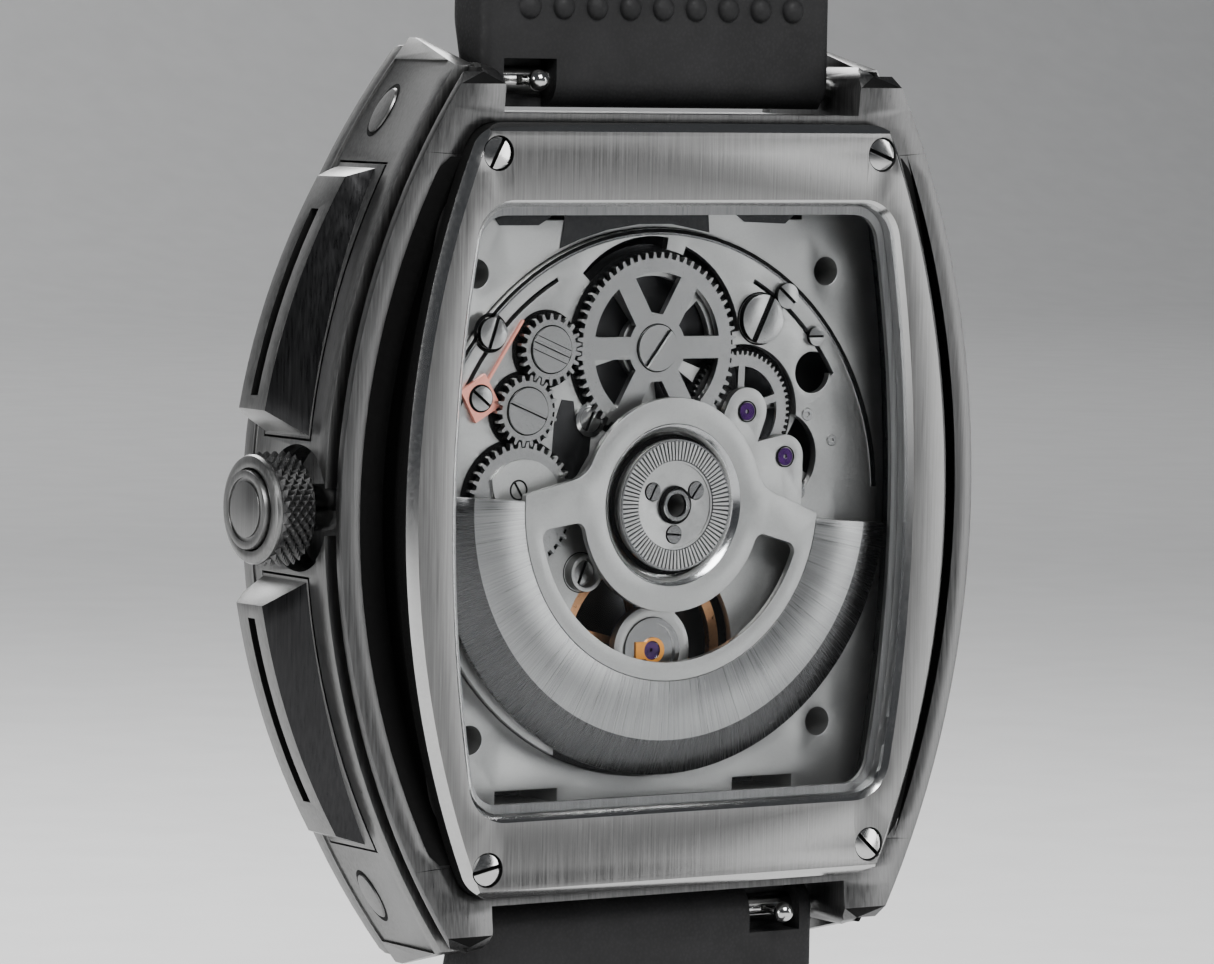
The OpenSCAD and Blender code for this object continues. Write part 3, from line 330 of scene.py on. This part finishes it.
def in_groove(x, z, d, n):
    return abs(side_radius(x, z) - (CASE_R - WALL)) < 0.1 and d < 4.2


def in_well(x, z, d, n):
    return abs(x) < WINDOW_W + 0.75 and abs(z) < WINDOW_H + 0.75 and d > 1.3


# Painted shade: the groove of the mid case is drawn black.
second_finish_and_shade("mid_case", "black_coating", in_groove)
# Painted shade: the walls of the well round the movement are darkened.
second_finish_and_shade("mid_case", "well_painted_shade", in_well)
second_finish_and_shade("back_plate", "polished_steel", lambda x, z, d, n: 0.3 < abs(n.y) < 0.95)
# Painted shade: the outward sides of the back plate are drawn black.
second_finish_and_shade("back_plate", "black_coating", lambda x, z, d, n: abs(n.y) < 0.3 and n.x * x > 0.2)
second_finish_and_shade("shock_setting", "orange_gilt",
              lambda x, z, d, n: d < 2.77 and math.hypot(x - BALANCE_AT[0], z - BALANCE_AT[1]) < 1.3)
# Painted shade: the outer bevel of the rotor weight gets a darker copy of its steel.
second_finish_and_shade("rotor_weight", "weight_bevel_painted_shade", lambda x, z, d, n: math.hypot(x, z) > 12.25)
for pusher in ("upper_pusher", "lower_pusher"):
    # Painted dark reflection and painted shade: the wrist-side flanks of the pushers are darkened.
    second_finish_and_shade(pusher, "flank_painted_shade", lambda x, z, d, n: n.y > 0.3 and d < 7.4)
    # Painted shade: the pushers' faces across the depth, near 8.1 mm from the back, are drawn black.
    second_finish_and_shade(pusher, "black_coating",
                  lambda x, z, d, n: abs(d - 8.1 + z * z / 300) < 0.45 and abs(n.y) > 0.9)


def dark_slots(name, depth=0.03):
    """The slot of each screw of a node, walls and floor, gets black as painted shade."""
    obj = nodes[name]
    obj.data.materials.append(MATS["black_coating"])
    index = len(obj.data.materials) - 1
    owner = {}

    def root(k):
        while owner.setdefault(k, k) != k:
            k = owner[k]
        return k

    keys = [tuple(round(c / MM * 500) for c in v.co) for v in obj.data.vertices]
    for polygon in obj.data.polygons:
        first = root(keys[polygon.vertices[0]])
        for v in polygon.vertices[1:]:
            owner[root(keys[v])] = first
    top = {}
    for v, key in zip(obj.data.vertices, keys):
        k = root(key)
        top[k] = max(top.get(k, -1), v.co.y)
    for polygon in obj.data.polygons:
        if polygon.center.y < top[root(keys[polygon.vertices[0]])] - depth * MM:
            polygon.material_index = index


for screws in ("back_screws", "bridge_screws", "bearing_screws"):
    dark_slots(screws)


def mesh_piece(name, verts, faces, material, body, replaces=(), smooth=40):
    """A piece of our own in millimetres of the row frame."""
    data = bpy.data.meshes.new(name)
    data.from_pydata([tuple(c * MM for c in v) for v in verts], [], faces)
    data.validate()
    data.materials.append(MATS[material])
    obj = bpy.data.objects.new(name, data)
    bpy.context.scene.collection.objects.link(obj)
    bm = bmesh.new()
    bm.from_mesh(data)
    bmesh.ops.recalc_face_normals(bm, faces=bm.faces)
    bm.to_mesh(data)
    bm.free()
    for polygon in data.polygons:
        polygon.use_smooth = True
    split = obj.modifiers.new("split", "EDGE_SPLIT")
    split.split_angle = math.radians(smooth)
    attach(obj, body)
    if replaces:
        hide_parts(*replaces)
    return obj


def grid_faces(rows, columns, closed=True):
    """Quads of a grid of vertex rows, whose columns close on themselves or not."""
    faces = []
    for r in range(rows - 1):
        for c in range(columns if closed else columns - 1):
            a, b = r * columns + c, r * columns + (c + 1) % columns
            faces.append((a, b, b + columns, a + columns))
    return faces


def block_sides(base):
    """Four sides of a block whose lower and upper corners follow each other from vertex base."""
    return [(base + m, base + (m + 1) % 4, base + 4 + (m + 1) % 4, base + 4 + m) for m in range(4)]


def circle(columns):
    """Cosine and sine of evenly spaced angles round a circle."""
    turns = [2 * math.pi * c / columns for c in range(columns)]
    return [(math.cos(a), math.sin(a)) for a in turns]


def make_crown():
    """Knurled barrel with a polished rim; the cap's disc stays in its seat."""
    columns, verts = 96, []

    def point(radius, x, a):
        return (CROWN_X + x, -CROWN_D + radius * math.cos(a), radius * math.sin(a))

    barrel, knurl = 2.66, 2.9
    profile = [(1.2, 0.0), (1.7, 0.0), (2.5, 0.0), (barrel, 0.1), (barrel, 1.98), (2.72, 2.02), (2.78, 2.1),
               (2.78, 2.2), (2.7, 2.34), (2.52, 2.42), (2.3, 2.44), (2.12, 2.4), (2.06, 2.3), (2.05, 2.1)]
    for radius, x in profile:
        verts += [point(radius, x, 2 * math.pi * c / columns) for c in range(columns)]
    faces = grid_faces(len(profile), columns)
    around, across = 30, 0.235
    for k in range(7):
        x = 0.3 + across * k
        for c in range(around):
            a, half = 2 * math.pi * (c + 0.5 * (k % 2)) / around, math.pi / around
            base = len(verts)
            for radius, share in ((barrel, 1), (knurl, 0.16)):
                corners = ((0, -share), (share, 0), (0, share), (-share, 0))
                verts += [point(radius, x + across * u, a + half * v) for u, v in corners]
            faces += block_sides(base)
            faces.append((base + 4, base + 5, base + 6, base + 7))
    obj = mesh_piece("crown_knurled", verts, faces, "case_steel", "crown", ("crown_body",), smooth=24)
    obj.data.materials.append(MATS["flange_steel"])
    for polygon in obj.data.polygons:
        c = polygon.center / MM
        if c.x < CROWN_X + 2.0 and math.hypot(c.y + CROWN_D, c.z) < knurl - 0.03:
            polygon.material_index = 1


def make_flutes():
    """Fluted ring of the ball bearing's disc: raised ribs over a ring darkened as painted shade."""
    flutes, rib_share, verts, faces = 84, 0.36, [], []
    for k in range(flutes):
        a = 2 * math.pi * k / flutes
        base = len(verts)
        for depth, shrink in ((1.2, 1.0), (1.13, 0.8)):
            for radius, turn in ((2.34, -1), (3.3, -1), (3.3, 1), (2.34, 1)):
                b = a + turn * shrink * rib_share * 2 * math.pi / flutes
                verts.append((radius * math.cos(b), -depth, radius * math.sin(b)))
        faces += block_sides(base)
        faces.append((base + 4, base + 5, base + 6, base + 7))
    flat_ring("bearing_flute_bed", 2.3, 3.34, 1.18, "plate_painted_shade", "case", thick=0.01)
    flat_ring("bearing_outer_rim", 3.3, 3.39, 1.12, "polished_steel", "case", thick=0.08)
    mesh_piece("bearing_flutes", verts, faces, "rhodium_plate", "case", smooth=20)


def cove_painted_shade(name, side):
    """Black painted shade and painted dark reflection in the cove beside the back plate, from the rib to the
    plate's edge.
    """
    verts, rows, half_length = [], 64, 19.2
    corner, corner_z = 1.45, PLATE_H - 2.35

    def arch(top, radius, z):
        return top - radius + math.sqrt(radius ** 2 - z * z)

    for k in range(rows + 1):
        z = (k / rows * 2 - 1) * half_length
        rib = CASE_W - CASE_R + math.sqrt((CASE_R - RIB) ** 2 - z * z)
        plate = arch(16.35, 48.05, z)
        if abs(z) > corner_z:
            plate -= corner - math.sqrt(max(0, corner ** 2 - (abs(z) - corner_z) ** 2))
        rib += (plate + 0.3 - rib) * max(0, (abs(z) - 17) / 2.2) ** 1.5
        flange = arch(2.0, 196, z)
        floor = max(flange + 0.03, arch(3.4, 74, z)) - 0.02
        outer, inner = rib - 0.02, plate + 0.02
        section = ((outer, min(flange + 0.12, floor)), (outer, floor), ((rib + plate) / 2, floor),
                   (inner, floor), (inner, 1.24))
        verts += [(side * x, -d, z) for x, d in section]
    mesh_piece(name, verts, grid_faces(rows + 1, 5, closed=False), "black_coating", "case", smooth=50)


def inset(name, z):
    """Plain oval inset near each end of the crown-side plate."""
    middle_d, half_d, half_z, columns = 7.1, 0.85, 1.35, 48
    lean = -0.09 if z > 0 else 0.09
    verts = []
    for scale, lift in ((1.0, 0.01), (0.84, 0.01), (0.8, 0.1), (0.68, 0.12), (0.0, 0.12)):
        for cos, sin in circle(columns):
            dz, dd = scale * half_z * sin, scale * half_d * cos
            x = CASE_W - CASE_R + math.sqrt((CASE_R - PANEL_SINK) ** 2 - (z + dz) ** 2)
            verts.append((x + lift, -(middle_d + dd + lean * dz), z + dz))
    obj = mesh_piece(name, verts, grid_faces(5, columns), "case_steel", "case", smooth=30)
    # Painted shade: the low outer band round the raised oval is drawn black.
    obj.data.materials.append(MATS["black_coating"])
    for polygon in obj.data.polygons:
        if all(v < 2 * columns for v in polygon.vertices):
            polygon.material_index = 1


def flat_ring(name, inner, outer, depth, material, body, thick=0.05, centre=(0, 0)):
    """Thin ring facing the case back."""
    verts, columns = [], 96
    for radius, d in ((inner, depth + thick), (inner, depth), (outer, depth), (outer, depth + thick)):
        verts += [(centre[0] + radius * cos, -d, centre[1] + radius * sin) for cos, sin in circle(columns)]
    mesh_piece(name, verts, grid_faces(4, columns), material, body)


def rounded_section(width, low, high, corner):
    """Closed outline of a strap section, across and up, starting at the back face."""
    points, half = [], width / 2
    for cx, cz, start in ((half - corner, low + corner, -90), (half - corner, high - corner, 0),
                          (corner - half, high - corner, 90), (corner - half, low + corner, 180)):
        for k in range(6):
            a = math.radians(start + 18 * k)
            points.append((cx + corner * math.cos(a), cz + corner * math.sin(a)))
    return points


def strap_point(s, up, bend):
    """Point along the strap, s from the spring bar and up away from the wrist, for the 12 o'clock side."""
    if s < STRAIGHT:
        return BAR_Z + s, BAR_D + up
    arc = math.radians(bend)
    angle = min((s - STRAIGHT) / STRAP_R, arc)
    rest = s - STRAIGHT - angle * STRAP_R
    radius = STRAP_R + up
    z = BAR_Z + STRAIGHT + radius * math.sin(angle) + rest * math.cos(angle)
    d = BAR_D - STRAP_R + radius * math.cos(angle) - rest * math.sin(angle)
    return z, d


def make_strap(name, side, bend, tail, tip, body, replaced, cutters):
    """Moulded rubber strap half; side is 1 towards 12 o'clock and -1 towards 6."""
    arc = math.radians(bend) * STRAP_R
    total = STRAIGHT + arc + tail
    end, tip_length, tip_thinning, swell, swell_length = 12.0, 8, 0.3, 0.8, 20
    half = STRAP_T / 2
    stations = [-1.38, -1.3, -1.1, -0.8, -0.4] + [0.4 * k for k in range(int(end / 0.4))]
    s = end
    while s < total - end:
        stations.append(s)
        s += 1.6
    if tip:
        stations += [total - end + end * math.sin(k / 16 * math.pi / 2) for k in range(17)]
    else:
        stations += [total + s for s in (-end, -8, -4, -1, 0, 0.5, 0.9, 1.2, 1.36)]
    verts = []
    for s in stations:
        low, high = -half, half
        if s < 0:
            high = math.sqrt(half * half - s * s)
            low = -high
        elif s < STRAIGHT + swell_length:
            high = half + swell * min(1, s / 3) * (1 - max(0, s - STRAIGHT) / swell_length)
        share = min(1, max(0, (s - STRAIGHT) / arc))
        width = STRAP_W + (TAIL_W - STRAP_W) * share
        into_tip = s - total + tip_length
        if tip and into_tip > 0:
            width = 2 * math.sqrt(max(0.05, (TAIL_W / 2) ** 2 * (1 - (into_tip / 8.02) ** 2)))
            high -= tip_thinning * (into_tip / tip_length) ** 2
            low += tip_thinning * (into_tip / tip_length) ** 2
        if not tip and s > total:
            high = math.sqrt(half * half - (s - total) ** 2)
            low = -high
        corner = min(0.8, (high - low) / 2 - 0.02, width / 2 - 0.01)
        for across, up in rounded_section(width, low, high, corner):
            z, d = strap_point(s, up, bend)
            verts.append((across, -d, side * z))
    columns = 24
    faces = grid_faces(len(stations), columns)
    faces.append(tuple(range(columns)))
    faces.append(tuple(range(len(verts) - columns, len(verts))))
    obj = mesh_piece(name, verts, faces, "strap_rubber", body, replaced, smooth=50)
    obj.modifiers.remove(obj.modifiers["split"])
    for k, cutter in enumerate(cutters):
        cut = obj.modifiers.new("cut%d" % k, "BOOLEAN")
        cut.object = cutter
        cut.operation = "DIFFERENCE"
        cut.solver = "EXACT"
    bpy.context.view_layer.objects.active = obj
    bpy.context.view_layer.update()
    shaped = bpy.data.meshes.new_from_object(obj.evaluated_get(bpy.context.evaluated_depsgraph_get()))
    obj.modifiers.clear()
    obj.data = shaped
    for cutter in cutters:
        bpy.data.objects.remove(cutter)
    for polygon in shaped.polygons:
        polygon.use_smooth = True
    split = obj.modifiers.new("split", "EDGE_SPLIT")
    split.split_angle = math.radians(50)


def cutter_object(bm, placed):
    """A cutter for make_strap from a bmesh, which this frees, and its placement."""
    data = bpy.data.meshes.new("cutter")
    bm.to_mesh(data)
    bm.free()
    data.transform(placed)
    obj = bpy.data.objects.new("cutter", data)
    bpy.context.scene.collection.objects.link(obj)
    return obj


def box_cutter(x, z, d, size, tilt=0.0):
    bm = bmesh.new()
    bmesh.ops.create_cube(bm, size=1)
    stretch = Matrix.Diagonal((size[0] * MM, size[1] * MM, size[2] * MM, 1))
    return cutter_object(bm, Matrix.Translation(at(x, z, d)) @ Matrix.Rotation(tilt, 4, "X") @ stretch)


def round_cutter(z, d, radius, tilt):
    bm = bmesh.new()
    wide = radius * MM
    bmesh.ops.create_cone(bm, cap_ends=True, segments=32, radius1=wide, radius2=wide, depth=10 * MM)
    return cutter_object(bm, Matrix.Translation(at(0, z, d)) @ Matrix.Rotation(math.pi / 2 + tilt, 4, "X"))


def bumps(name, body, side):
    """Row of nine moulded studs on the back of the strap, near the case."""
    verts, faces = [], []
    rows, columns, radius, height, pitch, row_z = 5, 20, 0.66, 0.42, 2.04, 25.5
    foot = BAR_D - STRAP_T / 2 + 0.02
    for k in range(9):
        base = len(verts)
        for r in range(rows):
            t = r / (rows - 1) * math.pi / 2
            for cos, sin in circle(columns):
                x = (k - 4) * pitch + radius * math.cos(t) * cos
                z = row_z + radius * math.cos(t) * sin
                verts.append((x, -(foot - height * math.sin(t)), side * z))
        faces += [tuple(base + v for v in f) for f in grid_faces(rows, columns)]
    mesh_piece(name, verts, faces, "strap_rubber", body)


def stud(name, x, z, d, radius, height, material, hole=0.0):
    """Dowel, pillar or small tube of the movement, seen from the back."""
    verts, columns = [], 32
    rings = [(radius, d + height), (radius, d + 0.04), (radius - 0.04, d),
             (hole + 0.02, d), (hole, d + 0.03), (hole, d + 0.25)]
    for r, depth in rings:
        verts += [(x + r * cos, -depth, z + r * sin) for cos, sin in circle(columns)]
    mesh_piece(name, verts, grid_faces(len(rings), columns), material, "case", smooth=30)


def arc_line(name, radius, width, start, end, d, material, centre=(0, 0), height=0.04):
    """Raised line along an arc on a bridge; the black ones are painted shade."""
    verts, steps, outer = [], 48, radius + width
    for k in range(steps + 1):
        a = math.radians(start + (end - start) * k / steps)
        for r, depth in ((radius, d + height), (radius, d), (outer, d), (outer, d + height)):
            verts.append((centre[0] + r * math.cos(a), -depth, centre[1] + r * math.sin(a)))
    return mesh_piece(name, verts, grid_faces(steps + 1, 4, closed=False), material, "case", smooth=30)


def node_centre(name):
    """Middle of a CAD node's box, as watch coordinates x and z."""
    corners = [nodes[name].matrix_world @ Vector(c) for c in nodes[name].bound_box]
    middle = (corners[0] + corners[6]) / 2
    return middle.x / MM, middle.z / MM


def flat_patch(name, outline, d, material):
    """Recess of a bridge or of the holder, drawn as a dark patch of painted shade."""
    count = len(outline)
    verts = [(x, -depth, z) for depth in (d, d + 0.008) for x, z in outline]
    faces = [(m, (m + 1) % count, count + (m + 1) % count, count + m) for m in range(count)]
    faces += [tuple(range(count)), tuple(range(count, 2 * count))]
    mesh_piece(name, verts, faces, material, "case", smooth=20)


def slot_lines(name, body, centre, radius, d, angle, offsets, width):
    """Slots across a round screw head, drawn black as painted shade."""
    verts, faces = [], []
    cos, sin = math.cos(math.radians(angle)), math.sin(math.radians(angle))
    for offset in offsets:
        half = math.sqrt(radius * radius - offset * offset)
        base = len(verts)
        for depth in (d, d + 0.02):
            for u, v in ((-half, -width / 2), (half, -width / 2), (half, width / 2), (-half, width / 2)):
                v += offset
                verts.append((centre[0] + u * cos - v * sin, -depth, centre[1] + u * sin + v * cos))
        faces += block_sides(base)
        faces += [(base, base + 1, base + 2, base + 3), (base + 4, base + 5, base + 6, base + 7)]
    mesh_piece(name, verts, faces, "black_coating", body, smooth=20)


# ---- details of the movement --------------------------------------------------------------
arc_line("bridge_rim_shadow", 13.98, 0.2, 2, 178, BRIDGE_D - 0.015, "black_coating")
arc_line("bridge_rim_shine", 13.86, 0.1, 2, 178, BRIDGE_D - 0.03, "polished_steel")
stud("bridge_dowel_2", -9.6, 4.4, BRIDGE_D - 0.1, 0.34, 0.08, "wheel_steel", 0.12)
stud("bridge_dowel_3", -11.2, 3.0, BRIDGE_D - 0.1, 0.3, 0.08, "wheel_steel", 0.1)
stud("bearing_collar", 0, 0, 1.02, 0.82, 0.2, "polished_steel", 0.6)
stud("bearing_collar_shadow", 0, 0, 1.19, 1.0, 0.005, "black_coating", 0.8)

WHEEL_SCREWS = (
    ("ratchet", RATCHET_AT, 1.2, 2.414, 128, (0.0,), 0.1),
    ("winding_a", WHEEL_A_AT, 1.19, 2.444, 22, (-0.36, 0.0, 0.36), 0.045),
    ("winding_b", WHEEL_B_AT, 1.19, 2.444, 22, (0.0,), 0.07))
for body, centre, radius, depth, angle, offsets, width in WHEEL_SCREWS:
    # Painted shadow: a black ring round each wheel screw's head, and slots of painted shade across it.
    line = arc_line(body + "_screw_line", radius, 0.07, 0, 360, 2.542, "black_coating", centre)
    slot_lines(body + "_slot", body, centre, radius - 0.04, depth, angle, offsets, width)
    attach(line, body)
# Painted shadow round the post, and painted shade in the sinks round the third and fourth wheels' jewels.
arc_line("post_shadow", 1.0, 0.06, 0, 360, BRIDGE_D - 0.01, "black_coating", POST_AT)
arc_line("third_jewel_sink", 0.5, 0.06, 0, 360, 2.59, "black_coating", THIRD_AT)
arc_line("fourth_jewel_sink", 0.5, 0.06, 0, 360, 2.59, "black_coating", FOURTH_AT)

# Painted shadow: black rings behind the teeth of the wheels, dark in the gaps between teeth
TOOTH_GAPS = (
    ("ratchet_gap", RATCHET_AT, 4.35, 5.12, 3.11),
    ("winding_a_gap", WHEEL_A_AT, 1.4, 2.02, 3.11),
    ("winding_b_gap", WHEEL_B_AT, 1.4, 2.02, 3.11),
    ("crown_wheel_gap", node_centre("crown_wheel"), 2.8, 3.42, 3.11),
    ("third_gap", THIRD_AT, 2.6, 3.45, 3.62))
for name, centre, inner, outer, depth in TOOTH_GAPS:
    flat_ring(name, inner, outer, depth, "black_coating", "case", thick=0.02, centre=centre)

# Sunk rims drawn black as painted shade, and one bright tube, round the screws of the bridges
SCREW_RIMS = (
    ("sink_big", (-6.43, 9.46), 1.3, 0.1, 3.135, "black_coating", 0.01),
    ("sink_left", (10.23, 8.91), 0.82, 0.2, 3.135, "black_coating", 0.01),
    ("sink_click", (10.9, 5.6), 0.64, 0.08, 2.885, "black_coating", 0.01),
    ("tube_upper", (4.12, 4.39), 0.66, 0.24, 2.99, "polished_steel", 0.12))
for name, centre, radius, width, depth, material, height in SCREW_RIMS:
    arc_line(name, radius, width, 0, 360, depth, material, centre, height=height)
COVER_SCREW_AT = (8.86, 0.92)
# Painted shade: a black ring round the cover screw and a black slot across it.
arc_line("cover_screw_line", 0.44, 0.1, 0, 360, 2.385, "black_coating", COVER_SCREW_AT, height=0.01)
slot_lines("cover_screw_slot", "case", COVER_SCREW_AT, 0.44, 2.375, 58, (0.0,), 0.12)

# Recesses of the bridge and of the movement holder, drawn as flat patches of painted shade
flat_patch("bridge_recess", [(5.85, 5.45), (5.1, 5.35), (4.9, 4.0), (4.0, 3.6), (4.1, 2.6), (4.85, 1.5),
                             (5.5, 1.1), (6.2, 1.6), (6.4, 2.6), (6.3, 4.2)], BRIDGE_D - 0.01, "plate_painted_shade")
HOLDER_PATCHES = {
    "holder_window": [(5.9, 13.15), (4.6, 13.65), (3.0, 14.1), (1.0, 14.4), (-1.0, 14.4), (-3.4, 13.95),
                      (-3.2, 16.2), (5.4, 16.2)],
    "holder_slot_left": [(6.2, 16.0), (6.5, 14.75), (7.2, 14.35), (9.6, 14.35), (9.9, 14.75), (9.9, 16.0)],
    "holder_slot_right": [(-4.6, 16.0), (-5.0, 14.9), (-5.6, 14.5), (-8.2, 14.4), (-8.7, 14.8), (-8.7, 16.0)]}
for name, outline in HOLDER_PATCHES.items():
    flat_patch(name, outline, HOLDER_D - 0.01, "plate_painted_shade")
stud("bridge_pillar_1", -8.9, 0.4, BRIDGE_D - 0.3, 0.5, 0.28, "polished_steel", 0.22)
make_crown()
make_flutes()
cove_painted_shade("cove_crown_side", 1)
cove_painted_shade("cove_left_side", -1)
inset("inset_upper", 20.1)
inset("inset_lower", -20.1)
flat_ring("bearing_shadow", 3.3, 3.72, 1.9, "black_coating", "case")

# ---- strap --------------------------------------------------------------------------------
SHORT_BEND, LONG_BEND, SHORT_TAIL, LONG_TAIL = 52, 70, 22, 48
KNOB_POCKET, KNOB_POCKET_X = (3.2, 3.0, 3.1), 8.1
TONGUE_SLOT = (3.0, 10, 8.2)
HOLES, HOLE_PITCH, FIRST_HOLE, HOLE_R = 7, 5.6, 2.5, 1.25


def straight_end(bend):
    """Length along the strap at which its tail begins."""
    return STRAIGHT + math.radians(bend) * STRAP_R


tail_z, tail_d = strap_point(straight_end(SHORT_BEND) + SHORT_TAIL, 0, SHORT_BEND)
short_cuts = [box_cutter(KNOB_POCKET_X, BAR_Z - 0.45, BAR_D - 1.45, KNOB_POCKET),
              box_cutter(0, tail_z, tail_d, TONGUE_SLOT, math.radians(SHORT_BEND))]
make_strap("strap_short_moulded", 1, SHORT_BEND, SHORT_TAIL, False, "strap_12", ("strap_short",), short_cuts)
long_cuts = [box_cutter(-KNOB_POCKET_X, -(BAR_Z - 0.45), BAR_D - 1.45, KNOB_POCKET)]
for hole in range(HOLES):
    hole_z, hole_d = strap_point(straight_end(LONG_BEND) + FIRST_HOLE + HOLE_PITCH * hole, 0, LONG_BEND)
    long_cuts.append(round_cutter(-hole_z, hole_d, HOLE_R, -math.radians(LONG_BEND)))
make_strap("strap_long_moulded", -1, LONG_BEND, LONG_TAIL, True, "strap_6", ("strap_long",), long_cuts)
bumps("strap_studs_short", "strap_12", 1)
bumps("strap_studs_long", "strap_6", -1)


# ---- studio -------------------------------------------------------------------------------
def add_light(name, where, target, size, power, shape=(1, 1)):
    data = bpy.data.lights.new(name, "AREA")
    data.shape = "RECTANGLE"
    data.size, data.size_y = size * shape[0], size * shape[1]
    data.energy = power
    light = bpy.data.objects.new(name, data)
    bpy.context.scene.collection.objects.link(light)
    light.location = where
    light.rotation_euler = (Vector(target) - Vector(where)).to_track_quat("-Z", "Y").to_euler()


def make_studio():
    """A pale floor that curves up into a backdrop on the dial side, and soft lights."""
    low = cad_box[0].z - 0.02
    bm = bmesh.new()
    across, front, back, bend, height, steps = 3.0, 3.0, 2.2, 0.6, 2.4, 12
    turns = [i / steps * math.pi / 2 for i in range(steps + 1)]
    profile = [(front, 0.0)]
    profile += [(-back - bend * math.sin(t), bend * (1 - math.cos(t))) for t in turns]
    profile.append((-back - bend, height))
    rows = [[bm.verts.new((side * across, y, low + z)) for y, z in profile] for side in (-1, 1)]
    for i in range(len(profile) - 1):
        bm.faces.new((rows[0][i], rows[0][i + 1], rows[1][i + 1], rows[1][i]))
    data = bpy.data.meshes.new("floor")
    bm.to_mesh(data)
    bm.free()
    floor = bpy.data.objects.new("floor", data)
    bpy.context.scene.collection.objects.link(floor)
    for polygon in data.polygons:
        polygon.use_smooth = True
    material, tree, shader = new_material("floor")
    tree.links.new(ramp(tree, cloud_noise(tree, 60, 6), [(0.3, 0.76), (0.7, 0.8)]), shader.inputs["Base Color"])
    shader.inputs["Roughness"].default_value = 0.85
    data.materials.append(material)
    world = bpy.data.worlds.new("studio")
    bpy.context.scene.world = world
    world.use_nodes = True
    background = world.node_tree.nodes["Background"]
    background.inputs["Color"].default_value = (0.7, 0.74, 0.8, 1)
    background.inputs["Strength"].default_value = 0.1
    add_light("key", (0.05, 0.7, 0.6), (0, 0, 0), 0.4, 11)
    add_light("side", (0.8, 0.05, 0.15), (0.01, 0, 0), 0.3, 4.5, (0.5, 1.6))
    add_light("fill", (-0.6, 0.5, 0.0), (0, 0, 0), 0.4, 2.4, (0.6, 1.5))
    add_light("rim", (-0.2, -0.6, 0.6), (0, 0, 0), 0.5, 9)
    add_light("backdrop", (0, -1.3, 1.7), (0, -2.7, 0.5), 1.2, 30, (1.6, 0.6))


make_studio()
